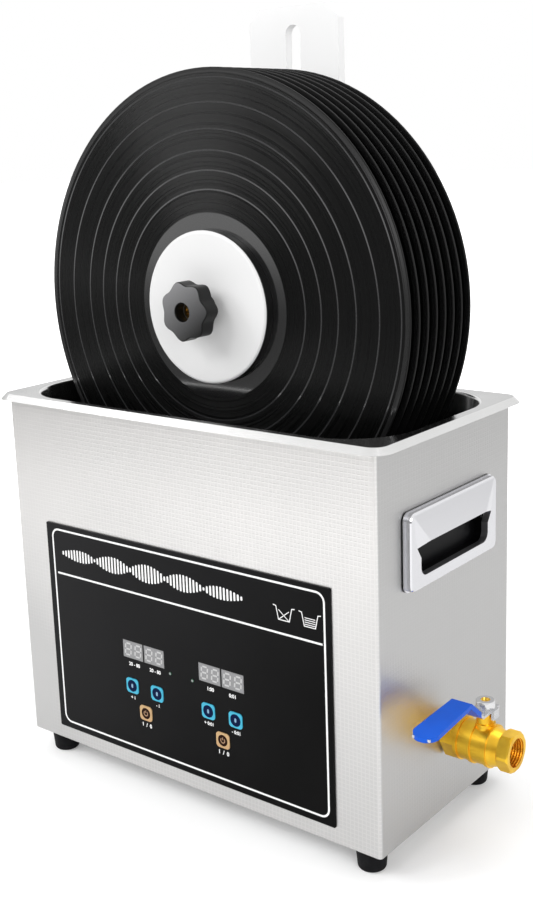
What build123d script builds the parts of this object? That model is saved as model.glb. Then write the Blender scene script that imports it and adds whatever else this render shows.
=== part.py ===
"""Record cleaning machine: an ultrasonic bath with a drain valve and a motor-driven record lift.

Units are millimetres.  X runs to the right along the front, Y to the back and Z up.  Every piece is drawn
about the centre of the casing at bench level, and is moved by one offset when it is written, so that the
finished part's origin lies on the bench under the middle of the whole machine.
"""
from build123d import *
from math import cos, pi, radians, sin
import os

# ---------------------------------------------------------------- bath and casing
CASING_CLEARANCE = 3.5      # from the tank's mouth out to the casing's face
CASING_CORNER = 2.5
SHEET = 1.0
FOOT_HEIGHT = 18.0
RIM_HEIGHT = 276.0          # top of the tank flange above the bench
TANK_LENGTH = 304.0
TANK_WIDTH = 154.0
TANK_FLOOR_Z = 126.0        # inside floor of the tank above the bench
TANK_CORNER = 43.0
TANK_DRAFT = 3.8            # degrees that the drawn walls lean in
TANK_WALL = 1.2
TANK_FLOOR_FILLET = 18.0
TANK_MOUTH_ROLL = 2.5
LIP_END_OVERHANG = 12.0     # from the tank's mouth out to the lip's edge
LIP_SIDE_OVERHANG = 11.0
LIP_CORNER = 13.0
LIP_DROP = 4.0
LIP_RUN = 4.0
SEAT_GAP = 0.2              # between pieces that are slipped together and do not slide

# ---------------------------------------------------------------- feet and bottom
FOOT_TOP_RADIUS = 10.6
FOOT_BOTTOM_RADIUS = 9.0
FOOT_EDGE = 2.5
FOOT_INSET_X = 17.0
FOOT_INSET_Y = 15.5
FOOT_RECESS_RADIUS = 5.0
FOOT_RECESS_DEPTH = 7.0
BOTTOM_RIM_HEIGHT = 9.0
BOTTOM_VENT_LENGTH = 44.0
BOTTOM_VENT_WIDTH = 4.0
BOTTOM_VENT_PITCH = 12.0
BOTTOM_VENT_COUNT = 6
BOTTOM_VENT_SHIFT = 26.4    # from the fan line to the middle of each row of slots
SCREW_RADIUS = 2.0
SCREW_HEAD_RADIUS = 3.8
SCREW_HEAD_HEIGHT = 2.4
SCREW_HOLE_RADIUS = 2.2

# ---------------------------------------------------------------- front panel, displays and buttons
PANEL_WIDTH = 247.5
PANEL_HEIGHT = 157.0
PANEL_THICKNESS = 1.0
PANEL_CENTRE_X = -1.0
PANEL_CENTRE_Z = 107.0
DISPLAY_WIDTH = 38.4
DISPLAY_HEIGHT = 12.7
DISPLAY_DEPTH = 8.0
DISPLAY_SPLIT = 1.2
DISPLAY_RECESS = 0.4
CONTROL_SPACING = 69.4      # left control group to right control group
DISPLAY_Z = 105.8
LED_RADIUS = 1.0
LED_SPACING = 20.0
LED_Z = 97.6
LED_PROUD = 0.3
BUTTON_WIDTH = 11.2
BUTTON_HEIGHT = 10.8
BUTTON_CORNER = 2.4
BUTTON_PROUD = 0.5
BUTTON_GAP = 0.2
BUTTON_FLANGE = 1.0
BUTTON_FLANGE_THICKNESS = 0.8
BUTTON_STEM_RADIUS = 2.0
BUTTON_TRAVEL = 0.6
BUTTON_SPACING = 23.3
BUTTON_UPPER_Z = 79.4
BUTTON_LOWER_Z = 61.8
BOARD_WINDOW_WIDTH = 126.0
BOARD_WINDOW_HEIGHT = 68.0
BOARD_WINDOW_Z = 84.0
BOARD_MARGIN = 6.0
BOARD_THICKNESS = 1.6
BOARD_STUD_RADIUS = 2.5
SWITCH_SIDE = 6.0
SWITCH_HEIGHT = 3.6
FIT_GAP = 0.1               # end float left at a switch plunger or a seat

# ---------------------------------------------------------------- side handles
HANDLE_BELOW_RIM = 71.2
HANDLE_FLANGE_WIDTH = 108.0
HANDLE_FLANGE_HEIGHT = 50.0
HANDLE_FLANGE_THICKNESS = 1.6
HANDLE_FACE_WIDTH = 105.0
HANDLE_FACE_HEIGHT = 49.0
HANDLE_FACE_PROUD = 5.5
HANDLE_CORNER = 5.0
HOOD_PROUD = 8.0
HOOD_MOUTH_HALF = 34.3
HOOD_MOUTH_LIFT = 4.7       # above the middle of the handle
HOOD_TOP_MARGIN = 1.5
HOOD_SKIN = 1.6
POCKET_HALF_TOP = 45.5
POCKET_POINT_LIFT = 2.2
POCKET_HALF = 41.0
POCKET_SHOULDER_DROP = 4.8
POCKET_BOTTOM_DROP = 16.8
POCKET_CORNER = 6.0
POCKET_ROOF_LIFT = 16.2
TRAY_WALL = 1.0
TRAY_DEPTH = 4.3            # depth of the black tray behind the casing's outer face

# ---------------------------------------------------------------- drain and valve
DRAIN_X = 105.0
DRAIN_Z = 68.6
SPIGOT_BORE = 7.5
SPIGOT_COLLAR_RADIUS = 12.0
SPIGOT_COLLAR_HEIGHT = 7.0
BARB_RADIUS = 9.0
SPIGOT_LENGTH = 21.0
HOSE_WALL = 3.0
HOSE_BEND = 25.0
CLAMP_WIDTH = 9.0
CLAMP_BAND = 1.2
CLAMP_HOUSING = 6.0
NIPPLE_BARB_LENGTH = 17.0
NIPPLE_THREAD_RADIUS = 10.45
NIPPLE_BORE = 7.0
LOCKNUT_FLATS = 27.0
LOCKNUT_THICKNESS = 6.0
VALVE_GAP = 1.6             # wall to valve, taken up by thread sealant
VALVE_HEX_FLATS = 24.0
VALVE_INLET_HEX = 9.0
VALVE_JOINT_LENGTH = 9.3
VALVE_INLET_HALF = 24.9     # valve inlet face to ball centre
VALVE_OUTLET_HALF = 21.9    # ball centre to outlet face
VALVE_OUTLET_HEX = 8.3
VALVE_NECK_LENGTH = 6.8
VALVE_NECK_RADIUS = 11.0
VALVE_BARREL_RADIUS = 13.0
VALVE_RIDGE_RADIUS = 13.9
VALVE_RIDGE = 2.2
HEX_TURNING = 0.555         # radius that takes the corners off a hexagon, as a share of its flats
OUTLET_THREAD_RADIUS = 9.3
OUTLET_THREAD_LENGTH = 11.5
THREAD_GAP = 0.05
PORT_RADIUS = 5.8
BALL_RADIUS = 8.5
BALL_BORE = 5.5
CHAMBER_RADIUS = 9.6
SEAT_LENGTH = 3.7
BALL_GAP = 0.3
ADAPTER_SPIGOT_RADIUS = 11.2
ADAPTER_SPIGOT_LENGTH = 3.0
BONNET_RADIUS = 5.6
BONNET_BASE_RADIUS = 6.5
BONNET_HEIGHT = 23.2
STEM_RADIUS = 3.6
STEM_THREAD_RADIUS = 3.0
STEM_TANG = 2.4
STEM_TANG_DEPTH = 1.8
RUNNING_GAP = 0.05
LEVER_THICKNESS = 1.8
LEVER_WIDTH = 12.0
LEVER_RISE_START = 13.0
LEVER_RISE_END = 30.0
LEVER_RISE = 14.5
LEVER_REACH = 77.5
LEVER_DROOP = 3.0
LEVER_EAR_DROP = 4.4
LEVER_EAR_WIDTH = 7.0
SLEEVE_START = 17.0
SLEEVE_SKIN = 0.6
SLEEVE_TIP_WIDTH = 17.0
SLEEVE_TIP_ROUNDING = 0.95  # share of the tip's half width
LEVER_NUT_FLATS = 12.0
LEVER_NUT_HEIGHT = 4.8

# ---------------------------------------------------------------- ultrasonic and electrical parts
TRANSDUCER_PITCH = 75.0
TRANSDUCER_COUNT = 3
TRANSDUCER_FIRST_X = -95.0
HORN_RADIUS = 22.5
HORN_WAIST_RADIUS = 17.5
HORN_LENGTH = 32.0
PIEZO_RADIUS = 17.5
PIEZO_THICKNESS = 5.0
PIEZO_BORE = 7.0
BACK_MASS_LENGTH = 18.0
BACK_MASS_BOLT_RADIUS = 5.0
BACK_MASS_BOLT_HEAD = 4.0
PIEZO_COUNT = 2
HEATER_WIDTH = 26.0
HEATER_LENGTH = 88.0
HEATER_THICKNESS = 2.0
POWER_BOARD_LENGTH = 150.0
POWER_BOARD_WIDTH = 84.0
POWER_BOARD_X = -58.0
POWER_BOARD_Y = -14.0
POWER_BOARD_LIFT = 8.0
POST_RADIUS = 3.5
POST_INSET = 6.0
TRANSFORMER_SIDE = 26.0
TRANSFORMER_HEIGHT = 22.0
CAPACITOR_RADIUS = 7.0
CAPACITOR_HEIGHT = 22.0
CAPACITOR_PITCH = 18.0
HEAT_SINK_LENGTH = 60.0
HEAT_SINK_FIN = 1.5
HEAT_SINK_PITCH = 5.0
HEAT_SINK_FINS = 4
HEAT_SINK_HEIGHT = 24.0
FAN_SIDE = 80.0
FAN_DEPTH = 25.0
FAN_X = 35.0
FAN_Z = 68.0
FAN_BORE = 38.0
FAN_HUB_RADIUS = 16.0
FAN_HUB_DEPTH = 3.0
FAN_STRUT = 4.0
FAN_BLADE_RADIUS = 36.5
FAN_BLADE_THICKNESS = 1.6
FAN_BLADE_PITCH = 38.0
FAN_BLADES = 7
FAN_PIN_RADIUS = 2.0
FAN_SCREW_SPACING = 71.5
FAN_CORNER = 4.0
FAN_ROTOR_DEPTH = 20.0
FAN_ROTOR_GAP = 1.0
VENT_SLOT = 3.6
VENT_PITCH = 7.2
VENT_END_ROUNDING = 0.49    # share of a slot's width
INLET_X = -100.0
SWITCH_X = -60.0
REAR_SOCKET_Z = 52.0
INLET_WIDTH = 27.0
INLET_HEIGHT = 19.6
INLET_DEPTH = 20.0
INLET_FLANGE_WIDTH = 50.0
INLET_FLANGE_HEIGHT = 24.0
INLET_FLANGE_THICKNESS = 2.5
INLET_SCREW_SPACING = 40.0
INLET_CAVITY_WIDTH = 24.4
INLET_CAVITY_HEIGHT = 16.8
INLET_CAVITY_DEPTH = 17.0
BLADE_SPACING = 14.0
BLADE_OFFSET = 1.0
BLADE_WIDTH = 2.0
BLADE_HEIGHT = 4.0
BLADE_LENGTH = 14.5
ROCKER_BEZEL_WIDTH = 15.0
ROCKER_BEZEL_HEIGHT = 21.0
ROCKER_BEZEL_THICKNESS = 2.0
ROCKER_BODY_WIDTH = 12.8
ROCKER_BODY_HEIGHT = 19.0
ROCKER_BODY_DEPTH = 15.0
ROCKER_WIDTH = 10.4
ROCKER_RADIUS = 8.1
ROCKER_TILT = 9.0
ROCKER_GAP = 0.3
ROCKER_PIVOT_INSET = 1.5     # pivot axis behind the casing wall
ROCKER_DISH = 4.0
ROCKER_PIN_RADIUS = 1.45

# ---------------------------------------------------------------- lift plate and carriage
PLATE_WIDTH = 75.0
PLATE_THICKNESS = 7.0
PLATE_FROM_WALL = 16.0      # from the tank's rear mouth edge forward to the plate's front
PLATE_ABOVE_RIM = 257.6
PLATE_BELOW_RIM = 38.0
PLATE_CHAMFER = 9.0
PLATE_CORNER = 4.0
SLOT_WIDTH = 12.6
SLOT_TOP_MARGIN = 12.4
CARRIAGE_DROP = 20.0        # travel of the carriage below its rest height
SLOT_SPARE = 7.5            # slot left below the lowered tongue
HOOK_INNER_LEG = 5.0
HOOK_BAR_HEIGHT = 9.0
HOOK_OUTER_LEG = 8.0
HOOK_LIP_GAP = 4.0
HOOK_SCREW_SPACING = 50.0
HOOK_SCREW_DROP = 18.0
HOOK_EDGE = 1.5
HOOK_KNOB_DROP = 20.0
CLAMP_SCREW_RADIUS = 2.95
CLAMP_HOLE_RADIUS = 3.0
CLAMP_HEAD_RADIUS = 14.0
CLAMP_HEAD_LENGTH = 12.0
CLAMP_HEAD_LOBES = 6
CLAMP_NECK_RADIUS = 6.0
CLAMP_NECK_LENGTH = 1.5
LOBE_DEPTH = 0.13           # lobe height as a share of the knob radius
SPINDLE_ABOVE_RIM = 64.5
SLIDE_GAP = 0.2
TONGUE_BELOW = 9.0
TONGUE_ABOVE = 55.0
SLIDE_FLANGE_WIDTH = 32.0
SLIDE_FLANGE_THICKNESS = 4.0
SLIDE_FLANGE_MARGIN = 4.0
LOCK_SCREW_LIFT = 46.0
LUG_HEIGHT = 25.0
LUG_THICKNESS = 8.0
MOTOR_BOX_WIDTH = 60.0
MOTOR_BOX_HEIGHT = 60.0
MOTOR_BOX_DEPTH = 50.0
MOTOR_BOX_WALL = 3.0
MOTOR_BOX_CORNER = 4.0
MOTOR_COVER_THICKNESS = 3.0
MOTOR_COVER_RIB = 4.0
GEARBOX_RADIUS = 18.5
GEARBOX_LENGTH = 20.0
MOTOR_RADIUS = 16.5
MOTOR_LENGTH = 25.0
SHAFT_RADIUS = 3.0
SHAFT_INSIDE = 6.0
SOCKET_RADIUS = 5.5
SOCKET_FLANGE_RADIUS = 7.0
SOCKET_FLANGE = 2.0
SOCKET_LENGTH = 12.0
SOCKET_BORE = 2.8
SOCKET_PIN = 1.0
SOCKET_DEPTH = 9.0
SOCKET_DROP = 20.0
SOCKET_FROM_BACK = 12.0

# ---------------------------------------------------------------- records and spindle
RECORD_RADIUS = 151.0
RECORD_HOLE = 3.63
RECORD_COUNT = 8
RECORD_PITCH = 9.94
RECORD_BEAD = 1.7
RECORD_BEAD_WIDTH = 3.0
RECORD_GROOVE_THICKNESS = 1.5
RECORD_LABEL_RADIUS = 47.8
RECORD_LABEL_THICKNESS = 1.9
STACK_REACH = 96.05         # from the plate's front forward to the first record
DISC_RADIUS = 50.3
FRONT_DISC_THICKNESS = 7.2
FRONT_DISC_EDGE = 2.4
REAR_DISC_THICKNESS = 3.45
SEAL_INNER = 48.1
SEAL_OUTER = 49.4
SEAL_DEPTH = 1.0
SPINDLE_RADIUS = 3.55
SPINDLE_PROTRUSION = 16.95  # beyond the first record
HUB_RADIUS = 15.0
HUB_LENGTH = 4.0
COUPLING_RADIUS = 8.0
COUPLING_LENGTH = 10.0
KNOB_RADIUS = 19.5
KNOB_LOBES = 7
KNOB_LENGTH = 22.4
KNOB_LOBE_LENGTH = 13.7
KNOB_DOME = 2.2             # rise of the knob's front from its rim to its middle
KNOB_TURN = 100.0           # degrees at which the first lobe stands
KNOB_HUB_RADIUS = 10.0
KNOB_RECESS_RADIUS = 6.0
KNOB_RECESS_DEPTH = 8.5
KNOB_RECESS_EDGE = 0.8
KNOB_GAP = 0.2
INSERT_RADIUS = 5.5
INSERT_BORE = 3.6

# ---------------------------------------------------------------- places worked out from the sizes above
CASING_WIDTH = TANK_LENGTH + 2 * CASING_CLEARANCE
CASING_DEPTH = TANK_WIDTH + 2 * CASING_CLEARANCE
LIP_LENGTH = TANK_LENGTH + 2 * LIP_END_OVERHANG
LIP_WIDTH = TANK_WIDTH + 2 * LIP_SIDE_OVERHANG
PLATE_FRONT = TANK_WIDTH / 2 - PLATE_FROM_WALL
STACK_FRONT = PLATE_FRONT - STACK_REACH
SPINDLE_END = STACK_FRONT - SPINDLE_PROTRUSION
SIDE = CASING_WIDTH / 2
FRONT = -CASING_DEPTH / 2
BACK = CASING_DEPTH / 2
FLANGE_UNDERSIDE = RIM_HEIGHT - TANK_WALL
TANK_DEPTH = RIM_HEIGHT - TANK_FLOOR_Z
TANK_UNDERSIDE = TANK_FLOOR_Z - TANK_WALL
BOTTOM_TOP = FOOT_HEIGHT + TANK_WALL
HANDLE_Z = RIM_HEIGHT - HANDLE_BELOW_RIM
HOOD_MOUTH_Z = HANDLE_Z + HOOD_MOUTH_LIFT
POCKET_POINT_Z = HANDLE_Z + POCKET_POINT_LIFT
POCKET_SHOULDER_Z = HANDLE_Z - POCKET_SHOULDER_DROP
POCKET_BOTTOM_Z = HANDLE_Z - POCKET_BOTTOM_DROP
POCKET_ROOF_Z = HANDLE_Z + POCKET_ROOF_LIFT
VALVE_INLET_FACE = SIDE + VALVE_GAP
BALL_X = VALVE_INLET_FACE + VALVE_INLET_HALF
VALVE_OUTLET_FACE = BALL_X + VALVE_OUTLET_HALF
BONNET_TOP = DRAIN_Z + BONNET_HEIGHT
LEVER_BASE = BONNET_TOP + BALL_GAP
LEVER_TOP = LEVER_BASE + LEVER_THICKNESS
SPINDLE_HEIGHT = RIM_HEIGHT + SPINDLE_ABOVE_RIM
PLATE_TOP = RIM_HEIGHT + PLATE_ABOVE_RIM
PLATE_BOTTOM = RIM_HEIGHT - PLATE_BELOW_RIM
SLOT_TOP = PLATE_TOP - SLOT_TOP_MARGIN
SLOT_BOTTOM = SPINDLE_HEIGHT - TONGUE_BELOW - CARRIAGE_DROP - SLOT_SPARE
PLATE_BACK = PLATE_FRONT + PLATE_THICKNESS
HOOK_INNER_FACE = LIP_WIDTH / 2 + HOOK_LIP_GAP
HOOK_OUTER_FACE = HOOK_INNER_FACE + HOOK_OUTER_LEG
HOOK_KNOB_Z = RIM_HEIGHT - HOOK_KNOB_DROP
BOX_FRONT = PLATE_BACK + SLIDE_GAP
BOX_BACK = BOX_FRONT + MOTOR_BOX_DEPTH
FRAME_X = (VALVE_OUTLET_FACE - LIP_LENGTH / 2) / 2
FRAME_Y = (BOX_BACK + MOTOR_COVER_THICKNESS - LIP_WIDTH / 2) / 2


def block(x0, x1, y0, y1, z0, z1):
    """A rectangular block between six planes."""
    centre = Pos((x0 + x1) / 2, (y0 + y1) / 2, (z0 + z1) / 2)
    return centre * Box(abs(x1 - x0), abs(y1 - y0), abs(z1 - z0))


def rod_x(radius, x0, x1, y=0.0, z=0.0):
    """A round bar along X."""
    return extrude(Plane((x0, y, z), x_dir=(0, 1, 0), z_dir=(1, 0, 0)) * Circle(radius), x1 - x0)


def rod_y(radius, y0, y1, x=0.0, z=0.0):
    """A round bar along Y."""
    return extrude(Plane((x, y0, z), x_dir=(1, 0, 0), z_dir=(0, 1, 0)) * Circle(radius), y1 - y0)


def rod_z(radius, z0, z1, x=0.0, y=0.0):
    """A round bar along Z."""
    return extrude(Plane((x, y, z0)) * Circle(radius), z1 - z0)


def slab(width, height, corner, y0, y1, x=0.0, z=0.0):
    """A rounded rectangle in the XZ plane, extruded along Y."""
    plane = Plane((x, y0, z), x_dir=(1, 0, 0), z_dir=(0, 1, 0))
    return extrude(plane * RectangleRounded(width, height, corner), y1 - y0)


def side_plate(width, height, corner, x0, x1, y=0.0, z=0.0):
    """A rounded rectangle in the YZ plane, extruded along X."""
    plane = Plane((x0, y, z), x_dir=(0, 1, 0), z_dir=(1, 0, 0))
    return extrude(plane * RectangleRounded(width, height, corner), x1 - x0)


def sheet_at(z, width, depth, corner):
    """A rounded rectangle lying level at height z."""
    return Plane((0, 0, z)) * RectangleRounded(width, depth, corner)


def hex_x(flats, x0, x1, y=0.0, z=0.0, turn=0.0):
    """A hexagonal bar along X."""
    plane = Plane((x0, y, z), x_dir=(0, 1, 0), z_dir=(1, 0, 0))
    return extrude(plane * Rot(0, 0, turn) * RegularPolygon(flats / 2, 6, major_radius=False), x1 - x0)


def solid_from(faces):
    """A closed solid from lists of corner points, one list for each flat face."""
    return Solid(Shell([Face(Wire.make_polygon([Vector(*p) for p in loop], close=True)) for loop in faces]))


def write(name, shape):
    """Write one piece, moved so that the origin lies under the middle of the machine."""
    moved = Pos(-FRAME_X, -FRAME_Y, 0) * shape
    moved.label = name
    export_step(moved, f"parts/{name}.step")


# ---------------------------------------------------------------- bath
def tank():
    """Drawn stainless tank with its flange, sloping lip and welded drain spigot."""
    mouth = sheet_at(RIM_HEIGHT, TANK_LENGTH, TANK_WIDTH, TANK_CORNER)
    cavity = extrude(mouth, -TANK_DEPTH, taper=TANK_DRAFT)
    cavity = fillet(cavity.faces().sort_by(Axis.Z)[0].edges(), TANK_FLOOR_FILLET)
    grown = 2 * TANK_WALL
    skin = sheet_at(RIM_HEIGHT, TANK_LENGTH + grown, TANK_WIDTH + grown, TANK_CORNER + TANK_WALL)
    skin = extrude(skin, -TANK_DEPTH - TANK_WALL, taper=TANK_DRAFT)
    skin = fillet(skin.faces().sort_by(Axis.Z)[0].edges(), TANK_FLOOR_FILLET + TANK_WALL)
    lip_bottom = RIM_HEIGHT - LIP_DROP
    run = 2 * LIP_RUN
    lip = loft([
        sheet_at(lip_bottom, LIP_LENGTH, LIP_WIDTH, LIP_CORNER),
        sheet_at(RIM_HEIGHT, LIP_LENGTH - run, LIP_WIDTH - run, LIP_CORNER - LIP_RUN),
    ])
    slant = LIP_RUN / LIP_DROP
    side = TANK_WALL * (1 + slant ** 2) ** 0.5
    rise = LIP_DROP - TANK_WALL
    under = loft([
        sheet_at(lip_bottom, LIP_LENGTH - 2 * side, LIP_WIDTH - 2 * side, LIP_CORNER - side),
        sheet_at(FLANGE_UNDERSIDE, LIP_LENGTH - 2 * (side + rise * slant),
                 LIP_WIDTH - 2 * (side + rise * slant), LIP_CORNER - side - rise * slant),
    ])
    body = lip - under + skin - cavity
    rim = body.faces().filter_by(Axis.Z).sort_by(Axis.Z)[-1]
    body = fillet(rim.inner_wires()[0].edges(), TANK_MOUTH_ROLL)
    body += rod_z(SPIGOT_COLLAR_RADIUS, TANK_UNDERSIDE - SPIGOT_COLLAR_HEIGHT, TANK_UNDERSIDE, DRAIN_X)
    body += rod_z(BARB_RADIUS, TANK_UNDERSIDE - SPIGOT_LENGTH, TANK_UNDERSIDE, DRAIN_X)
    return body - rod_z(SPIGOT_BORE, TANK_UNDERSIDE - SPIGOT_LENGTH, TANK_UNDERSIDE + 2 * TANK_WALL, DRAIN_X)


def outer_casing():
    """Wrapped sheet casing with its openings and the weld studs for the control board."""
    height = FLANGE_UNDERSIDE - FOOT_HEIGHT
    outside = sheet_at(FOOT_HEIGHT, CASING_WIDTH, CASING_DEPTH, CASING_CORNER)
    inside = sheet_at(FOOT_HEIGHT, CASING_WIDTH - 2 * SHEET, CASING_DEPTH - 2 * SHEET, CASING_CORNER - SHEET)
    shell = extrude(outside, height) - extrude(inside, height)
    shell -= slab(BOARD_WINDOW_WIDTH, BOARD_WINDOW_HEIGHT, SHEET, FRONT - SHEET, FRONT + 2 * SHEET,
                  PANEL_CENTRE_X, BOARD_WINDOW_Z)
    tray_width = 2 * (POCKET_HALF + TRAY_WALL + SEAT_GAP)
    tray_height = POCKET_ROOF_Z - POCKET_BOTTOM_Z + 2 * (TRAY_WALL + SEAT_GAP)
    shell -= side_plate(tray_width, tray_height, POCKET_CORNER, -SIDE - SHEET, SIDE + SHEET,
                        0, (POCKET_ROOF_Z + POCKET_BOTTOM_Z) / 2)
    shell -= rod_x(NIPPLE_THREAD_RADIUS + SEAT_GAP, SIDE - 2 * SHEET, SIDE + SHEET, 0, DRAIN_Z)
    shell -= slab(INLET_WIDTH + 2 * SEAT_GAP, INLET_HEIGHT + 2 * SEAT_GAP, SHEET, BACK - 2 * SHEET,
                  BACK + SHEET,
                  INLET_X, REAR_SOCKET_Z)
    shell -= slab(ROCKER_BODY_WIDTH + 2 * SEAT_GAP, ROCKER_BODY_HEIGHT + 2 * SEAT_GAP, SHEET,
                  BACK - 2 * SHEET,
                  BACK + SHEET, SWITCH_X, REAR_SOCKET_Z)
    shell -= fan_vents()
    for x, z in fan_screws() + inlet_screws():
        shell -= rod_y(SCREW_HOLE_RADIUS, BACK - 2 * SHEET, BACK + SHEET, x, z)
    for x, z in board_corners():
        shell += rod_y(BOARD_STUD_RADIUS, FRONT + SHEET, BOARD_FRONT, x, z)
    return shell


def fan_vents():
    """Rows of level slots that fill the fan's circle."""
    reach = FAN_BORE - VENT_SLOT
    rows = int(reach / VENT_PITCH)
    cuts = Part()
    for row in range(-rows, rows + 1):
        rise = row * VENT_PITCH
        half = (reach ** 2 - rise ** 2) ** 0.5
        cuts += slab(2 * half + VENT_SLOT, VENT_SLOT, VENT_SLOT * VENT_END_ROUNDING, BACK - 2 * SHEET,
                     BACK + SHEET,
                     FAN_X, FAN_Z + rise)
    return cuts


def foot_places():
    """Centres of the four feet."""
    x = SIDE - FOOT_INSET_X
    y = BACK - FOOT_INSET_Y
    return [(-x, -y), (x, -y), (x, y), (-x, y)]


def post_places():
    """Centres of the four posts that carry the ultrasonic generator board."""
    x = POWER_BOARD_LENGTH / 2 - POST_INSET
    y = POWER_BOARD_WIDTH / 2 - POST_INSET
    return [(POWER_BOARD_X + a, POWER_BOARD_Y + b) for a in (-x, x) for b in (-y, y)]


def bottom_plate():
    """Folded tray that closes the casing from below, with air slots and pressed-in board posts."""
    width = CASING_WIDTH - 2 * (SHEET + SEAT_GAP)
    depth = CASING_DEPTH - 2 * (SHEET + SEAT_GAP)
    corner = CASING_CORNER - SHEET - SEAT_GAP
    tray = extrude(sheet_at(FOOT_HEIGHT, width, depth, corner), BOTTOM_RIM_HEIGHT)
    hollow = sheet_at(BOTTOM_TOP, width - 2 * TANK_WALL, depth - 2 * TANK_WALL, corner / 2)
    tray -= extrude(hollow, BOTTOM_RIM_HEIGHT)
    for x, y in foot_places():
        tray -= rod_z(SCREW_HOLE_RADIUS, FOOT_HEIGHT - TANK_WALL, BOTTOM_TOP + TANK_WALL, x, y)
    for side in (-1, 1):
        for row in range(BOTTOM_VENT_COUNT):
            x = FAN_X + side * BOTTOM_VENT_SHIFT
            y = FRONT + 2 * FOOT_INSET_Y + row * BOTTOM_VENT_PITCH
            slot = Plane((x, y, FOOT_HEIGHT)) * SlotOverall(BOTTOM_VENT_LENGTH, BOTTOM_VENT_WIDTH)
            tray -= extrude(slot, 2 * TANK_WALL, both=True)
    for x, y in post_places():
        tray += rod_z(POST_RADIUS, BOTTOM_TOP, BOTTOM_TOP + POWER_BOARD_LIFT, x, y)
    return tray


def rubber_feet():
    """Four tapered rubber feet, each with a recess for its screw."""
    feet = []
    for x, y in foot_places():
        foot = Pos(x, y, FOOT_HEIGHT / 2) * Cone(FOOT_BOTTOM_RADIUS, FOOT_TOP_RADIUS, FOOT_HEIGHT)
        foot = fillet(foot.edges().sort_by(Axis.Z)[0], FOOT_EDGE)
        foot -= rod_z(FOOT_RECESS_RADIUS, 0, FOOT_RECESS_DEPTH, x, y)
        foot -= rod_z(SCREW_HOLE_RADIUS, 0, FOOT_HEIGHT, x, y)
        feet.append(foot)
    return feet


def machine_screws():
    """Pan-head screws: four in the feet, four in the fan, two in the mains inlet, two in the lift plate."""
    screws = []
    for x, y in foot_places():
        head = rod_z(SCREW_HEAD_RADIUS, FOOT_RECESS_DEPTH - SCREW_HEAD_HEIGHT, FOOT_RECESS_DEPTH, x, y)
        screws.append(head + rod_z(SCREW_RADIUS, FOOT_RECESS_DEPTH, BOTTOM_TOP + SCREW_HEAD_HEIGHT, x, y))
    for x, z in fan_screws():
        screws.append(rear_screw(x, z, BACK, FAN_DEPTH / 2))
    for x, z in inlet_screws():
        screws.append(rear_screw(x, z, BACK + INLET_FLANGE_THICKNESS, INLET_FLANGE_THICKNESS + 3 * SHEET))
    for x, z in hook_screws():
        head = rod_y(SCREW_HEAD_RADIUS, PLATE_FRONT - SCREW_HEAD_HEIGHT, PLATE_FRONT, x, z)
        screws.append(head + rod_y(SCREW_RADIUS, PLATE_FRONT, PLATE_BACK + HOOK_INNER_LEG - SHEET, x, z))
    return screws


def rear_screw(x, z, seat, length):
    """A pan-head screw driven in from behind."""
    head = rod_y(SCREW_HEAD_RADIUS, seat, seat + SCREW_HEAD_HEIGHT, x, z)
    return head + rod_y(SCREW_RADIUS, seat - length, seat, x, z)


# ---------------------------------------------------------------- front panel
BOARD_FRONT = FRONT - PANEL_THICKNESS + DISPLAY_RECESS + DISPLAY_DEPTH
DISPLAY_X = {
    "temperature_display": PANEL_CENTRE_X - CONTROL_SPACING / 2,
    "timer_display": PANEL_CENTRE_X + CONTROL_SPACING / 2,
}
BUTTONS = {
    "temp_up_button": (DISPLAY_X["temperature_display"] - BUTTON_SPACING / 2, BUTTON_UPPER_Z),
    "temp_down_button": (DISPLAY_X["temperature_display"] + BUTTON_SPACING / 2, BUTTON_UPPER_Z),
    "heater_button": (DISPLAY_X["temperature_display"], BUTTON_LOWER_Z),
    "time_up_button": (DISPLAY_X["timer_display"] - BUTTON_SPACING / 2, BUTTON_UPPER_Z),
    "time_down_button": (DISPLAY_X["timer_display"] + BUTTON_SPACING / 2, BUTTON_UPPER_Z),
    "ultrasonic_button": (DISPLAY_X["timer_display"], BUTTON_LOWER_Z),
}


def board_corners():
    """Centres of the studs that carry the control board."""
    x = BOARD_WINDOW_WIDTH / 2 + BOARD_MARGIN / 2
    z = BOARD_WINDOW_HEIGHT / 2 + BOARD_MARGIN / 2
    return [(PANEL_CENTRE_X + a, BOARD_WINDOW_Z + b) for a in (-x, x) for b in (-z, z)]


def led_places():
    """Centres of the two indicator lights."""
    return [(PANEL_CENTRE_X + side * LED_SPACING / 2, LED_Z) for side in (-1, 1)]


def front_panel():
    """Black facing plate with its display windows, light holes and button openings."""
    face = FRONT - PANEL_THICKNESS
    panel = slab(PANEL_WIDTH, PANEL_HEIGHT, PANEL_THICKNESS, face, FRONT, PANEL_CENTRE_X, PANEL_CENTRE_Z)
    for x in DISPLAY_X.values():
        panel -= slab(DISPLAY_WIDTH + 2 * SEAT_GAP, DISPLAY_HEIGHT + 2 * SEAT_GAP, SEAT_GAP, face - 1,
                      FRONT + 1,
                      x, DISPLAY_Z)
    for x, z in led_places():
        panel -= rod_y(LED_RADIUS + SEAT_GAP, face - 1, FRONT + 1, x, z)
    for x, z in BUTTONS.values():
        panel -= slab(BUTTON_WIDTH + 2 * BUTTON_GAP, BUTTON_HEIGHT + 2 * BUTTON_GAP,
                      BUTTON_CORNER + BUTTON_GAP,
                      face - 1, FRONT + 1, x, z)
    return panel


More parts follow.
